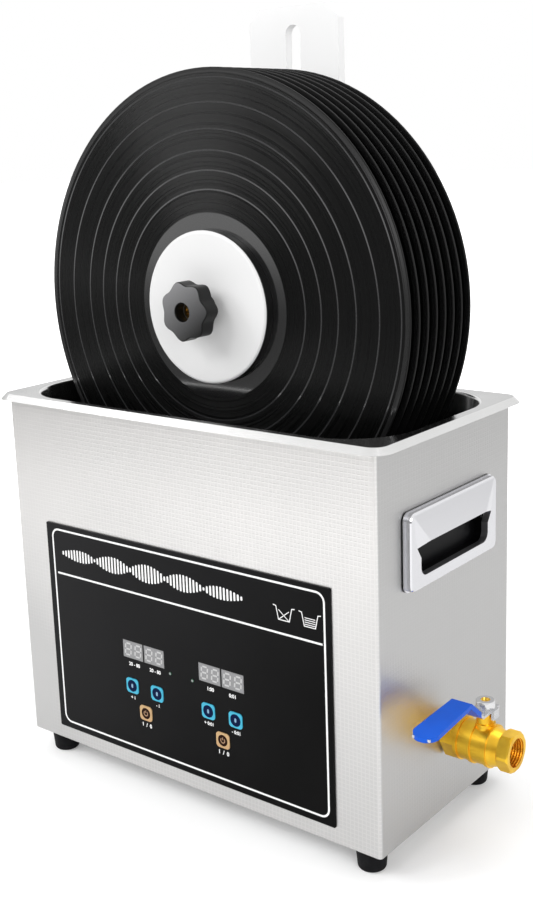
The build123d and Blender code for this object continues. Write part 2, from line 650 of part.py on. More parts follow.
def display_module(x):
    """Two two-digit light modules that stand side by side on the control board."""
    half = (DISPLAY_WIDTH - DISPLAY_SPLIT) / 2
    front = BOARD_FRONT - DISPLAY_DEPTH
    low = DISPLAY_Z - DISPLAY_HEIGHT / 2
    left = x - DISPLAY_WIDTH / 2
    return [block(a, a + half, front, BOARD_FRONT, low, low + DISPLAY_HEIGHT)
            for a in (left, left + half + DISPLAY_SPLIT)]


def control_board():
    """Circuit board with six key switches and two indicator lights."""
    width = BOARD_WINDOW_WIDTH + 2 * BOARD_MARGIN
    height = BOARD_WINDOW_HEIGHT + 2 * BOARD_MARGIN
    board = slab(width, height, SHEET, BOARD_FRONT, BOARD_FRONT + BOARD_THICKNESS, PANEL_CENTRE_X,
                 BOARD_WINDOW_Z)
    for x, z in BUTTONS.values():
        half = SWITCH_SIDE / 2
        board += block(x - half, x + half, BOARD_FRONT - SWITCH_HEIGHT, BOARD_FRONT, z - half, z + half)
    for x, z in led_places():
        board += rod_y(LED_RADIUS, FRONT - PANEL_THICKNESS - LED_PROUD, BOARD_FRONT, x, z)
    return board


def button(x, z):
    """Key cap with a flange that traps it behind the panel and a stem that reaches its switch."""
    face = FRONT - PANEL_THICKNESS - BUTTON_PROUD
    seat = FRONT + SEAT_GAP
    cap = slab(BUTTON_WIDTH, BUTTON_HEIGHT, BUTTON_CORNER, face, seat, x, z)
    flange_back = seat + BUTTON_FLANGE_THICKNESS
    cap += slab(BUTTON_WIDTH + 2 * BUTTON_FLANGE, BUTTON_HEIGHT + 2 * BUTTON_FLANGE, BUTTON_CORNER,
                seat, flange_back, x, z)
    stem_end = BOARD_FRONT - SWITCH_HEIGHT - BUTTON_TRAVEL - FIT_GAP
    return cap + rod_y(BUTTON_STEM_RADIUS, flange_back, stem_end, x, z)


# ---------------------------------------------------------------- side handles
def pocket_face(x):
    """The opening in a handle's face: pointed above, rounded below."""
    right = [(POCKET_HALF_TOP, POCKET_POINT_Z), (POCKET_HALF, POCKET_SHOULDER_Z),
             (POCKET_HALF, POCKET_BOTTOM_Z)]
    left = [(-y, z) for y, z in reversed(right)]
    hood = [(-HOOD_MOUTH_HALF, HOOD_MOUTH_Z), (HOOD_MOUTH_HALF, HOOD_MOUTH_Z)]
    plane = Plane((x, 0, 0), x_dir=(0, 1, 0), z_dir=(1, 0, 0))
    face = make_face(Polyline(*(right + left + hood), close=True))
    low = face.vertices().group_by(Axis.Y)[0]
    return plane * fillet(low, POCKET_CORNER)


def handle_frame():
    """Chromed casting of the right-hand handle: a stepped flange, a flat face and a hood over the grip."""
    step = SIDE + HANDLE_FLANGE_THICKNESS
    face = SIDE + HANDLE_FACE_PROUD
    frame = side_plate(HANDLE_FLANGE_WIDTH, HANDLE_FLANGE_HEIGHT, HANDLE_CORNER, SIDE, step, 0, HANDLE_Z)
    body = side_plate(HANDLE_FACE_WIDTH, HANDLE_FACE_HEIGHT, HANDLE_CORNER, step, face, 0, HANDLE_Z)
    frame += chamfer(body.faces().sort_by(Axis.X)[-1].edges(), HANDLE_FLANGE_THICKNESS / 2)
    top = HANDLE_Z + HANDLE_FACE_HEIGHT / 2 - HOOD_TOP_MARGIN
    half = HANDLE_FACE_WIDTH / 2 - 2 * HOOD_TOP_MARGIN
    a, b = (face, -half, top), (face, half, top)
    c = (SIDE + HOOD_PROUD, -HOOD_MOUTH_HALF, HOOD_MOUTH_Z)
    d = (SIDE + HOOD_PROUD, HOOD_MOUTH_HALF, HOOD_MOUTH_Z)
    e, f = (face, -POCKET_HALF_TOP, POCKET_POINT_Z), (face, POCKET_HALF_TOP, POCKET_POINT_Z)
    frame += solid_from([[a, b, d, c], [a, c, e], [b, f, d], [e, c, d, f], [a, e, f, b]])
    frame -= extrude(pocket_face(SIDE - SHEET), HOOD_PROUD + 2 * SHEET)
    width = 2 * POCKET_HALF
    height = POCKET_ROOF_Z - POCKET_BOTTOM_Z
    grip = side_plate(width, height, POCKET_CORNER, SIDE - SHEET, face - HOOD_SKIN, 0,
                      POCKET_BOTTOM_Z + height / 2)
    return frame - grip


def handle_pocket():
    """Black finger tray behind the right-hand handle, let into the casing wall."""
    width = 2 * POCKET_HALF
    height = POCKET_ROOF_Z - POCKET_BOTTOM_Z
    centre = POCKET_BOTTOM_Z + height / 2
    floor = SIDE - TRAY_DEPTH
    tray = side_plate(width + 2 * TRAY_WALL, height + 2 * TRAY_WALL, POCKET_CORNER, floor - TRAY_WALL, SIDE,
                      0, centre)
    return tray - side_plate(width, height, POCKET_CORNER, floor, SIDE + SHEET, 0, centre)


# ---------------------------------------------------------------- drain
NIPPLE_SHOULDER = SIDE - SHEET - LOCKNUT_THICKNESS
HOSE_TOP = TANK_UNDERSIDE - SPIGOT_COLLAR_HEIGHT - SEAT_GAP
HOSE_INNER = BARB_RADIUS + THREAD_GAP


def drain_hose():
    """Silicone hose that turns from the tank's spigot to the wall nipple."""
    path = FilletPolyline((DRAIN_X, 0, HOSE_TOP), (DRAIN_X, 0, DRAIN_Z),
                          (NIPPLE_SHOULDER - SEAT_GAP, 0, DRAIN_Z),
                          radius=HOSE_BEND)
    start = Plane((DRAIN_X, 0, HOSE_TOP))
    ring = start * (Circle(HOSE_INNER + HOSE_WALL) - Circle(HOSE_INNER))
    return sweep(ring, path=path)


def hose_clamps():
    """Two worm-drive bands, each with its screw housing."""
    inner = HOSE_INNER + HOSE_WALL + THREAD_GAP
    outer = inner + CLAMP_BAND
    z = HOSE_TOP - CLAMP_WIDTH
    upper = rod_z(outer, z - CLAMP_WIDTH / 2, z + CLAMP_WIDTH / 2, DRAIN_X)
    upper += block(DRAIN_X - outer - CLAMP_HOUSING, DRAIN_X - inner, -CLAMP_HOUSING, CLAMP_HOUSING,
                   z - CLAMP_WIDTH / 2, z + CLAMP_WIDTH / 2)
    upper -= rod_z(inner, z - CLAMP_WIDTH, z + CLAMP_WIDTH, DRAIN_X)
    x = NIPPLE_SHOULDER - CLAMP_WIDTH
    lower = rod_x(outer, x - CLAMP_WIDTH / 2, x + CLAMP_WIDTH / 2, 0, DRAIN_Z)
    lower += block(x - CLAMP_WIDTH / 2, x + CLAMP_WIDTH / 2, -CLAMP_HOUSING, CLAMP_HOUSING,
                   DRAIN_Z + inner, DRAIN_Z + outer + CLAMP_HOUSING)
    lower -= rod_x(inner, x - CLAMP_WIDTH, x + CLAMP_WIDTH, 0, DRAIN_Z)
    return [upper, lower]


def drain_nipple():
    """Brass wall nipple, barbed inside and threaded outside."""
    barb = rod_x(BARB_RADIUS, NIPPLE_SHOULDER - NIPPLE_BARB_LENGTH, NIPPLE_SHOULDER, 0, DRAIN_Z)
    end = VALVE_INLET_FACE + VALVE_INLET_HEX + SHEET
    thread = rod_x(NIPPLE_THREAD_RADIUS, NIPPLE_SHOULDER, end, 0, DRAIN_Z)
    return barb + thread - rod_x(NIPPLE_BORE, NIPPLE_SHOULDER - 2 * NIPPLE_BARB_LENGTH, end + 1, 0, DRAIN_Z)


def nipple_locknut():
    """Hexagonal nut that clamps the nipple to the casing wall from inside."""
    nut = hex_x(LOCKNUT_FLATS, NIPPLE_SHOULDER, SIDE - SHEET, 0, DRAIN_Z)
    return nut - rod_x(NIPPLE_THREAD_RADIUS + THREAD_GAP, NIPPLE_SHOULDER - 1, SIDE, 0, DRAIN_Z)


# ---------------------------------------------------------------- drain valve
VALVE_JOINT = VALVE_INLET_FACE + VALVE_INLET_HEX + VALVE_JOINT_LENGTH
CHAMBER_END = BALL_X + BALL_RADIUS + (CHAMBER_RADIUS - BALL_RADIUS) / 2 + BALL_GAP
ADAPTER_END = VALVE_JOINT + ADAPTER_SPIGOT_LENGTH


def valve_adapter():
    """Inlet half of the valve: a hexagon, a ridged barrel and the spigot that screws into the body."""
    ridge_start = VALVE_INLET_FACE + VALVE_INLET_HEX
    piece = hex_x(VALVE_HEX_FLATS, VALVE_INLET_FACE, ridge_start, 0, DRAIN_Z)
    piece += rod_x(VALVE_BARREL_RADIUS, ridge_start, VALVE_JOINT, 0, DRAIN_Z)
    piece += rod_x(VALVE_RIDGE_RADIUS, ridge_start, ridge_start + VALVE_RIDGE, 0, DRAIN_Z)
    piece += rod_x(ADAPTER_SPIGOT_RADIUS, VALVE_JOINT, ADAPTER_END, 0, DRAIN_Z)
    piece -= rod_x(NIPPLE_THREAD_RADIUS + THREAD_GAP, VALVE_INLET_FACE - 1, ridge_start + 2 * SHEET, 0,
                   DRAIN_Z)
    piece -= rod_x(PORT_RADIUS, VALVE_INLET_FACE, BALL_X, 0, DRAIN_Z)
    return piece - rod_x(CHAMBER_RADIUS, 2 * BALL_X - CHAMBER_END, BALL_X, 0, DRAIN_Z)


def valve_body():
    """Outlet half of the valve: barrel, neck, hexagonal threaded outlet and the bonnet for the stem."""
    hex_start = VALVE_OUTLET_FACE - VALVE_OUTLET_HEX
    neck_start = hex_start - VALVE_NECK_LENGTH
    piece = rod_x(VALVE_BARREL_RADIUS, VALVE_JOINT, neck_start, 0, DRAIN_Z)
    for x in (VALVE_JOINT, neck_start - VALVE_RIDGE):
        piece += rod_x(VALVE_RIDGE_RADIUS, x, x + VALVE_RIDGE, 0, DRAIN_Z)
    neck = Rot(0, 90, 0) * Cone(VALVE_BARREL_RADIUS, VALVE_NECK_RADIUS, VALVE_NECK_LENGTH)
    piece += Pos(neck_start + VALVE_NECK_LENGTH / 2, 0, DRAIN_Z) * neck
    outlet = hex_x(VALVE_HEX_FLATS, hex_start, VALVE_OUTLET_FACE, 0, DRAIN_Z)
    turned = VALVE_HEX_FLATS * HEX_TURNING
    piece += outlet & Pos((hex_start + VALVE_OUTLET_FACE) / 2, 0, DRAIN_Z) * Rot(0, 90, 0) * chamfer(
        Cylinder(turned, VALVE_OUTLET_HEX).edges().filter_by(GeomType.CIRCLE), SHEET)
    piece += rod_z(BONNET_BASE_RADIUS, DRAIN_Z, DRAIN_Z + VALVE_BARREL_RADIUS + 2 * SHEET, BALL_X)
    piece += rod_z(BONNET_RADIUS, DRAIN_Z, BONNET_TOP, BALL_X)
    piece -= rod_x(ADAPTER_SPIGOT_RADIUS + THREAD_GAP, VALVE_JOINT - 1, ADAPTER_END + FIT_GAP, 0, DRAIN_Z)
    piece -= rod_x(CHAMBER_RADIUS, VALVE_JOINT, CHAMBER_END, 0, DRAIN_Z)
    piece -= rod_x(PORT_RADIUS, BALL_X, VALVE_OUTLET_FACE, 0, DRAIN_Z)
    piece -= rod_x(OUTLET_THREAD_RADIUS, VALVE_OUTLET_FACE - OUTLET_THREAD_LENGTH, VALVE_OUTLET_FACE + 1, 0,
                   DRAIN_Z)
    return piece - rod_z(STEM_RADIUS + RUNNING_GAP, DRAIN_Z, BONNET_TOP + 1, BALL_X)


def valve_seats():
    """Two PTFE rings that hold the ball and seal against it."""
    ball = BALL_RADIUS + RUNNING_GAP
    outer = CHAMBER_RADIUS - RUNNING_GAP
    reach = CHAMBER_END - BALL_X
    inner = reach - SEAT_LENGTH
    middle = (inner + (ball ** 2 - PORT_RADIUS ** 2) ** 0.5) / 2
    lip = (inner, (ball ** 2 - inner ** 2) ** 0.5)
    throat = ((ball ** 2 - PORT_RADIUS ** 2) ** 0.5, PORT_RADIUS)
    arc = ThreePointArc(lip, (middle, (ball ** 2 - middle ** 2) ** 0.5), throat)
    rest = Polyline(throat, (reach, PORT_RADIUS), (reach, outer), (inner, outer), lip)
    plane = Plane((BALL_X, 0, DRAIN_Z), x_dir=(1, 0, 0), z_dir=(0, -1, 0))
    seat = revolve(plane * make_face(arc + rest), Axis((BALL_X, 0, DRAIN_Z), (1, 0, 0)))
    return [seat, mirror(seat, about=Plane((BALL_X, 0, DRAIN_Z), z_dir=(1, 0, 0)))]


def valve_ball():
    """Bored ball; the bore lies along Y while the valve is shut, and a slot on top takes the stem."""
    ball = Pos(BALL_X, 0, DRAIN_Z) * Sphere(BALL_RADIUS)
    ball -= rod_y(BALL_BORE, -2 * BALL_RADIUS, 2 * BALL_RADIUS, BALL_X, DRAIN_Z)
    half = STEM_TANG / 2 + RUNNING_GAP
    slot_floor = DRAIN_Z + BALL_RADIUS - STEM_TANG_DEPTH
    return ball - block(BALL_X - half, BALL_X + half, -BALL_RADIUS, BALL_RADIUS, slot_floor,
                        slot_floor + BALL_RADIUS)


def valve_stem():
    """Stem with a tang in the ball, a round shank in the bonnet and a thread for the lever nut."""
    shank_start = DRAIN_Z + BALL_RADIUS + FIT_GAP
    stem = rod_z(STEM_RADIUS, shank_start, LEVER_BASE, BALL_X)
    stem += rod_z(STEM_THREAD_RADIUS, LEVER_BASE, LEVER_TOP + LEVER_NUT_HEIGHT - SHEET, BALL_X)
    half = STEM_TANG / 2
    tang = block(BALL_X - half, BALL_X + half, -STEM_RADIUS, STEM_RADIUS,
                 DRAIN_Z + BALL_RADIUS - STEM_TANG_DEPTH + FIT_GAP, shank_start)
    return stem + tang


def lever_line():
    """Centre line of the lever in the YZ plane, from its heel to its tip."""
    base = LEVER_BASE + LEVER_THICKNESS / 2
    return [
        (STEM_RADIUS + 2 * LEVER_THICKNESS, base),
        (-LEVER_RISE_START, base),
        (-LEVER_RISE_END, base + LEVER_RISE),
        (-LEVER_REACH, base + LEVER_RISE - LEVER_DROOP),
    ]


def strip(points, thickness, width, x):
    """A folded strip of even thickness that follows points in the YZ plane, centred at x."""
    upper, lower = [], []
    for i, (y, z) in enumerate(points):
        before = Vector(*points[max(i - 1, 0)], 0)
        here = Vector(y, z, 0)
        after = Vector(*points[min(i + 1, len(points) - 1)], 0)
        first = (here - before) if i else (after - here)
        second = (after - here) if i < len(points) - 1 else first
        normal = (first.normalized() + second.normalized()).normalized()
        mitre = thickness / 2 / normal.dot(first.normalized())
        across = Vector(-normal.Y, normal.X, 0) * mitre
        upper.append((y + across.X, z + across.Y))
        lower.append((y - across.X, z - across.Y))
    outline = make_face(Polyline(*(upper + lower[::-1]), close=True))
    plane = Plane((x - width / 2, 0, 0), x_dir=(0, 1, 0), z_dir=(1, 0, 0))
    return extrude(plane * outline, width)


def valve_lever():
    """Pressed steel lever with a stop ear; it points along -Y while the valve is shut."""
    lever = strip(lever_line(), LEVER_THICKNESS, LEVER_WIDTH, BALL_X)
    ear = BALL_X + LEVER_WIDTH / 2
    half = LEVER_EAR_WIDTH / 2
    lever += block(ear, ear + LEVER_THICKNESS, -half, half, LEVER_BASE - LEVER_EAR_DROP, LEVER_TOP)
    return lever - rod_z(STEM_THREAD_RADIUS + RUNNING_GAP, LEVER_BASE - 1, LEVER_TOP + 1, BALL_X)


def lever_sleeve():
    """Blue vinyl grip dipped over the outer part of the lever, widening to a round tip."""
    thick = LEVER_THICKNESS + 2 * SLEEVE_SKIN
    points = lever_line()
    points[-1] = (-LEVER_REACH - 2 * SLEEVE_SKIN, points[-1][1])
    body = strip(points, thick, 2 * SLEEVE_TIP_WIDTH, BALL_X)
    near = LEVER_WIDTH / 2 + SLEEVE_SKIN
    far = SLEEVE_TIP_WIDTH / 2
    tip = -LEVER_REACH - 2 * SLEEVE_SKIN
    outline = make_face(Polyline((BALL_X - near, -SLEEVE_START), (BALL_X - far, tip), (BALL_X + far, tip),
                                 (BALL_X + near, -SLEEVE_START), close=True))
    outline = fillet(outline.vertices().group_by(Axis.Y)[0], far * SLEEVE_TIP_ROUNDING)
    column = extrude(Plane((0, 0, LEVER_BASE - thick)) * outline, LEVER_RISE + 4 * thick)
    return (body & column) - strip(lever_line(), LEVER_THICKNESS, LEVER_WIDTH, BALL_X)


def lever_nut():
    """Hexagonal nut that holds the lever on the stem."""
    blank = RegularPolygon(LEVER_NUT_FLATS / 2, 6, major_radius=False)
    nut = extrude(Plane((BALL_X, 0, LEVER_TOP)) * blank, LEVER_NUT_HEIGHT)
    dome = Cylinder(LEVER_NUT_FLATS * HEX_TURNING, LEVER_NUT_HEIGHT)
    dome = chamfer(dome.edges().filter_by(GeomType.CIRCLE).sort_by(Axis.Z)[-1], SHEET)
    nut &= Pos(BALL_X, 0, LEVER_TOP + LEVER_NUT_HEIGHT / 2) * dome
    return nut - rod_z(STEM_THREAD_RADIUS + RUNNING_GAP, LEVER_TOP - 1, LEVER_TOP + LEVER_NUT_HEIGHT + 1,
                       BALL_X)


# ---------------------------------------------------------------- transducers, heater and generator
def transducer_places():
    """Positions of the transducers along the tank."""
    return [TRANSDUCER_FIRST_X + i * TRANSDUCER_PITCH for i in range(TRANSDUCER_COUNT)]


def transducer_horns():
    """Aluminium front masses glued to the tank floor, flared towards the tank."""
    horns = []
    for x in transducer_places():
        centre = Pos(x, 0, TANK_UNDERSIDE - HORN_LENGTH / 2)
        horns.append(centre * Cone(HORN_WAIST_RADIUS, HORN_RADIUS, HORN_LENGTH))
    return horns


def transducer_piezos():
    """Pairs of ceramic rings under each front mass."""
    top = TANK_UNDERSIDE - HORN_LENGTH
    rings = []
    for x in transducer_places():
        for i in range(PIEZO_COUNT):
            low = top - (i + 1) * PIEZO_THICKNESS
            ring = rod_z(PIEZO_RADIUS, low, low + PIEZO_THICKNESS, x)
            rings.append(ring - rod_z(PIEZO_BORE, low - 1, low + PIEZO_THICKNESS + 1, x))
    return rings


def transducer_back_masses():
    """Steel back masses, each with the head of its clamping bolt."""
    top = TANK_UNDERSIDE - HORN_LENGTH - PIEZO_COUNT * PIEZO_THICKNESS
    masses = []
    for x in transducer_places():
        mass = rod_z(PIEZO_RADIUS, top - BACK_MASS_LENGTH, top, x)
        masses.append(mass + rod_z(BACK_MASS_BOLT_RADIUS, top - BACK_MASS_LENGTH - BACK_MASS_BOLT_HEAD, top,
                                   x))
    return masses


def heater_pads():
    """Flat heaters glued to the tank floor between the transducers."""
    places = transducer_places()
    pads = []
    for left, right in zip(places, places[1:]):
        x = (left + right) / 2
        pads.append(block(x - HEATER_WIDTH / 2, x + HEATER_WIDTH / 2, -HEATER_LENGTH / 2, HEATER_LENGTH / 2,
                          TANK_UNDERSIDE - HEATER_THICKNESS, TANK_UNDERSIDE))
    return pads


def generator_board():
    """Ultrasonic generator board with its transformer, capacitors and finned heat sink."""
    low = BOTTOM_TOP + POWER_BOARD_LIFT
    top = low + BOARD_THICKNESS
    half_x = POWER_BOARD_LENGTH / 2
    half_y = POWER_BOARD_WIDTH / 2
    board = block(POWER_BOARD_X - half_x, POWER_BOARD_X + half_x, POWER_BOARD_Y - half_y,
                  POWER_BOARD_Y + half_y,
                  low, top)
    x = POWER_BOARD_X - TRANSFORMER_SIDE
    y = POWER_BOARD_Y - TRANSFORMER_SIDE / 2
    board += block(x - TRANSFORMER_SIDE, x, y, y + TRANSFORMER_SIDE, top, top + TRANSFORMER_HEIGHT)
    for i in range(3):
        x = POWER_BOARD_X + i * CAPACITOR_PITCH
        board += rod_z(CAPACITOR_RADIUS, top, top + CAPACITOR_HEIGHT, x, POWER_BOARD_Y - half_y / 2)
    y = POWER_BOARD_Y + half_y / 4
    board += block(POWER_BOARD_X, POWER_BOARD_X + HEAT_SINK_LENGTH, y, y + HEAT_SINK_FINS * HEAT_SINK_PITCH,
                   top, top + 2 * HEAT_SINK_FIN)
    for i in range(HEAT_SINK_FINS):
        fin = y + i * HEAT_SINK_PITCH
        board += block(POWER_BOARD_X, POWER_BOARD_X + HEAT_SINK_LENGTH, fin, fin + HEAT_SINK_FIN,
                       top, top + HEAT_SINK_HEIGHT)
    return board


# ---------------------------------------------------------------- fan
FAN_BACK = BACK - SHEET
FAN_FRONT = FAN_BACK - FAN_DEPTH
ROTOR_BACK = FAN_BACK - FAN_ROTOR_GAP
ROTOR_FRONT = ROTOR_BACK - FAN_ROTOR_DEPTH


def fan_screws():
    """Centres of the four fan screws."""
    half = FAN_SCREW_SPACING / 2
    return [(FAN_X + a, FAN_Z + b) for a in (-half, half) for b in (-half, half)]


def fan_frame():
    """Square fan housing with four struts, a hub and the rotor's pin."""
    frame = slab(FAN_SIDE, FAN_SIDE, FAN_CORNER, FAN_FRONT, FAN_BACK, FAN_X, FAN_Z)
    frame -= rod_y(FAN_BORE, FAN_FRONT - 1, FAN_BACK + 1, FAN_X, FAN_Z)
    for x, z in fan_screws():
        frame -= rod_y(SCREW_RADIUS + THREAD_GAP, FAN_FRONT - 1, FAN_BACK + 1, x, z)
    frame += rod_y(FAN_HUB_RADIUS, FAN_FRONT, FAN_FRONT + FAN_HUB_DEPTH, FAN_X, FAN_Z)
    for angle in range(45, 180, 90):
        strut = Box(2 * FAN_BORE + FAN_STRUT / 2, FAN_HUB_DEPTH, FAN_STRUT)
        frame += Pos(FAN_X, FAN_FRONT + FAN_HUB_DEPTH / 2, FAN_Z) * Rot(0, angle, 0) * strut
    return frame + rod_y(FAN_PIN_RADIUS, FAN_FRONT, ROTOR_BACK - 2 * FAN_ROTOR_GAP, FAN_X, FAN_Z)


def fan_rotor():
    """Hub with pitched blades that turns on the frame's pin."""
    middle = (ROTOR_FRONT + ROTOR_BACK) / 2
    rotor = rod_y(FAN_HUB_RADIUS, ROTOR_FRONT, ROTOR_BACK, FAN_X, FAN_Z)
    reach = FAN_BLADE_RADIUS - FAN_HUB_RADIUS / 2
    chord = FAN_ROTOR_DEPTH / cos(radians(FAN_BLADE_PITCH))
    blades = Part()
    for i in range(FAN_BLADES):
        turn = Rot(0, 360 * i / FAN_BLADES, 0)
        blade = Rot(90 - FAN_BLADE_PITCH, 0, 0) * Box(reach, FAN_BLADE_THICKNESS, chord)
        blades += Pos(FAN_X, middle, FAN_Z) * turn * Pos(FAN_HUB_RADIUS / 2 + reach / 2, 0, 0) * blade
    envelope = rod_y(FAN_BLADE_RADIUS, ROTOR_FRONT, ROTOR_BACK, FAN_X, FAN_Z)
    rotor += blades & envelope
    bore_end = ROTOR_BACK - FAN_ROTOR_GAP
    return rotor - rod_y(FAN_PIN_RADIUS + RUNNING_GAP, ROTOR_FRONT - 1, bore_end, FAN_X, FAN_Z)


# ---------------------------------------------------------------- mains inlet and switch
def inlet_screws():
    """Centres of the two mains inlet screws."""
    half = INLET_SCREW_SPACING / 2
    return [(INLET_X - half, REAR_SOCKET_Z), (INLET_X + half, REAR_SOCKET_Z)]


def mains_inlet():
    """Mains appliance inlet: flange, body, cavity and three flat blades."""
    outer = BACK + INLET_FLANGE_THICKNESS
    inlet = slab(INLET_FLANGE_WIDTH, INLET_FLANGE_HEIGHT, INLET_FLANGE_THICKNESS, BACK, outer,
                 INLET_X, REAR_SOCKET_Z)
    inlet += slab(INLET_WIDTH, INLET_HEIGHT, SHEET, BACK - INLET_DEPTH, BACK, INLET_X, REAR_SOCKET_Z)
    floor = outer - INLET_CAVITY_DEPTH
    inlet -= slab(INLET_CAVITY_WIDTH, INLET_CAVITY_HEIGHT, INLET_FLANGE_THICKNESS, floor, outer + 1,
                  INLET_X, REAR_SOCKET_Z)
    for x, z in inlet_screws():
        inlet -= rod_y(SCREW_HOLE_RADIUS, BACK - 1, outer + 1, x, z)
    for shift, lift in ((-BLADE_SPACING / 2, -BLADE_OFFSET), (0, BLADE_OFFSET),
                        (BLADE_SPACING / 2, -BLADE_OFFSET)):
        x = INLET_X + shift
        z = REAR_SOCKET_Z + lift
        inlet += block(x - BLADE_WIDTH / 2, x + BLADE_WIDTH / 2, floor, floor + BLADE_LENGTH,
                       z - BLADE_HEIGHT / 2, z + BLADE_HEIGHT / 2)
    return inlet


ROCKER_Y = BACK - ROCKER_PIVOT_INSET


def switch_body():
    """Snap-in switch housing with a round seat and a pivot pin for the rocker."""
    bezel_face = BACK + ROCKER_BEZEL_THICKNESS
    body = slab(ROCKER_BEZEL_WIDTH, ROCKER_BEZEL_HEIGHT, SHEET, BACK, bezel_face, SWITCH_X, REAR_SOCKET_Z)
    body += slab(ROCKER_BODY_WIDTH, ROCKER_BODY_HEIGHT, SHEET, BACK - ROCKER_BODY_DEPTH, BACK,
                 SWITCH_X, REAR_SOCKET_Z)
    seat = ROCKER_RADIUS + ROCKER_GAP
    half = ROCKER_WIDTH / 2 + ROCKER_GAP
    body -= rod_x(seat, SWITCH_X - half, SWITCH_X + half, ROCKER_Y, REAR_SOCKET_Z)
    return body + rod_x(ROCKER_PIN_RADIUS, SWITCH_X - half, SWITCH_X + half, ROCKER_Y, REAR_SOCKET_Z)


def switch_rocker():
    """Dished rocker on its pin, tipped to its off side."""
    half = ROCKER_WIDTH / 2
    rocker = rod_x(ROCKER_RADIUS, -half, half)
    for side in (-1, 1):
        wedge = Pos(0, ROCKER_DISH, 0) * Rot(-side * ROCKER_TILT, 0, 0)
        low, high = sorted((0.0, side * 2 * ROCKER_RADIUS))
        rocker -= wedge * block(-half, half, 0, 2 * ROCKER_RADIUS, low, high)
    rocker -= rod_x(ROCKER_PIN_RADIUS + RUNNING_GAP, -half, half)
    return Pos(SWITCH_X, ROCKER_Y, REAR_SOCKET_Z) * Rot(-ROCKER_TILT, 0, 0) * rocker


# ---------------------------------------------------------------- lift plate and rim hook
def lobed(radius, lobes):
    """Knob outline: a closed wavy curve with rounded lobes."""
    steps = 4 * lobes
    points = []
    for i in range(steps):
        angle = 2 * pi * i / steps
        r = radius * (1 - LOBE_DEPTH * (1 - cos(lobes * angle)) / 2)
        points.append((r * cos(angle), r * sin(angle)))
    return make_face(Spline(*points, periodic=True))


def hook_screws():
    """Centres of the two screws that hold the lift plate to its hook."""
    half = HOOK_SCREW_SPACING / 2
    z = RIM_HEIGHT - HOOK_SCREW_DROP
    return [(-half, z), (half, z)]


def lift_plate():
    """Upright slotted guide plate with its top corners cut off."""
    half = PLATE_WIDTH / 2
    plane = Plane((0, PLATE_BACK, 0), x_dir=(1, 0, 0), z_dir=(0, -1, 0))
    outline = make_face(Polyline(
        (-half, PLATE_BOTTOM), (half, PLATE_BOTTOM), (half, PLATE_TOP - PLATE_CHAMFER),
        (half - PLATE_CHAMFER, PLATE_TOP), (PLATE_CHAMFER - half, PLATE_TOP),
        (-half, PLATE_TOP - PLATE_CHAMFER),
        close=True))
    outline = fillet(outline.vertices(), PLATE_CORNER)
    plate = extrude(plane * outline, PLATE_THICKNESS)
    slot = Rot(0, 0, 90) * SlotOverall(SLOT_TOP - SLOT_BOTTOM, SLOT_WIDTH)
    slot = Pos(0, (SLOT_TOP + SLOT_BOTTOM) / 2) * slot
    plate -= extrude(plane * slot, PLATE_THICKNESS)
    for x, z in hook_screws():
        plate -= rod_y(SCREW_HOLE_RADIUS, PLATE_FRONT - 1, PLATE_BACK + 1, x, z)
    return plate


def rim_hook():
    """Bracket that carries the lift plate and hangs over the rear rim of the tank."""
    inner = PLATE_BACK + HOOK_INNER_LEG
    top = RIM_HEIGHT + HOOK_BAR_HEIGHT
    plane = Plane((-PLATE_WIDTH / 2, 0, 0), x_dir=(0, 1, 0), z_dir=(1, 0, 0))
    outline = make_face(Polyline(
        (PLATE_BACK, PLATE_BOTTOM), (inner, PLATE_BOTTOM), (inner, RIM_HEIGHT),
        (HOOK_INNER_FACE, RIM_HEIGHT), (HOOK_INNER_FACE, PLATE_BOTTOM), (HOOK_OUTER_FACE, PLATE_BOTTOM),
        (HOOK_OUTER_FACE, top), (PLATE_BACK, top), close=True))
    rounded = [v for v in outline.vertices() if v.X > inner + 1]
    outline = fillet(rounded, HOOK_EDGE)
    hook = extrude(plane * outline, PLATE_WIDTH)
    for x, z in hook_screws():
        hook -= rod_y(SCREW_RADIUS + THREAD_GAP, PLATE_BACK - 1, inner + 1, x, z)
    return hook - rod_y(CLAMP_HOLE_RADIUS, HOOK_INNER_FACE - 1, HOOK_OUTER_FACE + 1, 0, HOOK_KNOB_Z)


def clamp_knob(tip, seat, z):
    """Lobed hand screw that points along -Y: shank from tip, neck and head behind seat."""
    neck = seat + CLAMP_NECK_LENGTH
    knob = rod_y(CLAMP_SCREW_RADIUS, tip, neck, 0, z)
    knob += rod_y(CLAMP_NECK_RADIUS, seat, neck, 0, z)
    plane = Plane((0, neck, z), x_dir=(1, 0, 0), z_dir=(0, 1, 0))
    head = extrude(plane * lobed(CLAMP_HEAD_RADIUS, CLAMP_HEAD_LOBES), CLAMP_HEAD_LENGTH)
    loops = head.edges().group_by(Axis.Y)
    return knob + fillet(loops[0] + loops[-1], SHEET)


# ---------------------------------------------------------------- carriage
LUG_TOP = SPINDLE_HEIGHT + MOTOR_BOX_HEIGHT / 2 + LUG_HEIGHT
LOCK_SCREW_Z = SPINDLE_HEIGHT + LOCK_SCREW_LIFT
SHAFT_END = BOX_FRONT + MOTOR_BOX_WALL + SHAFT_INSIDE


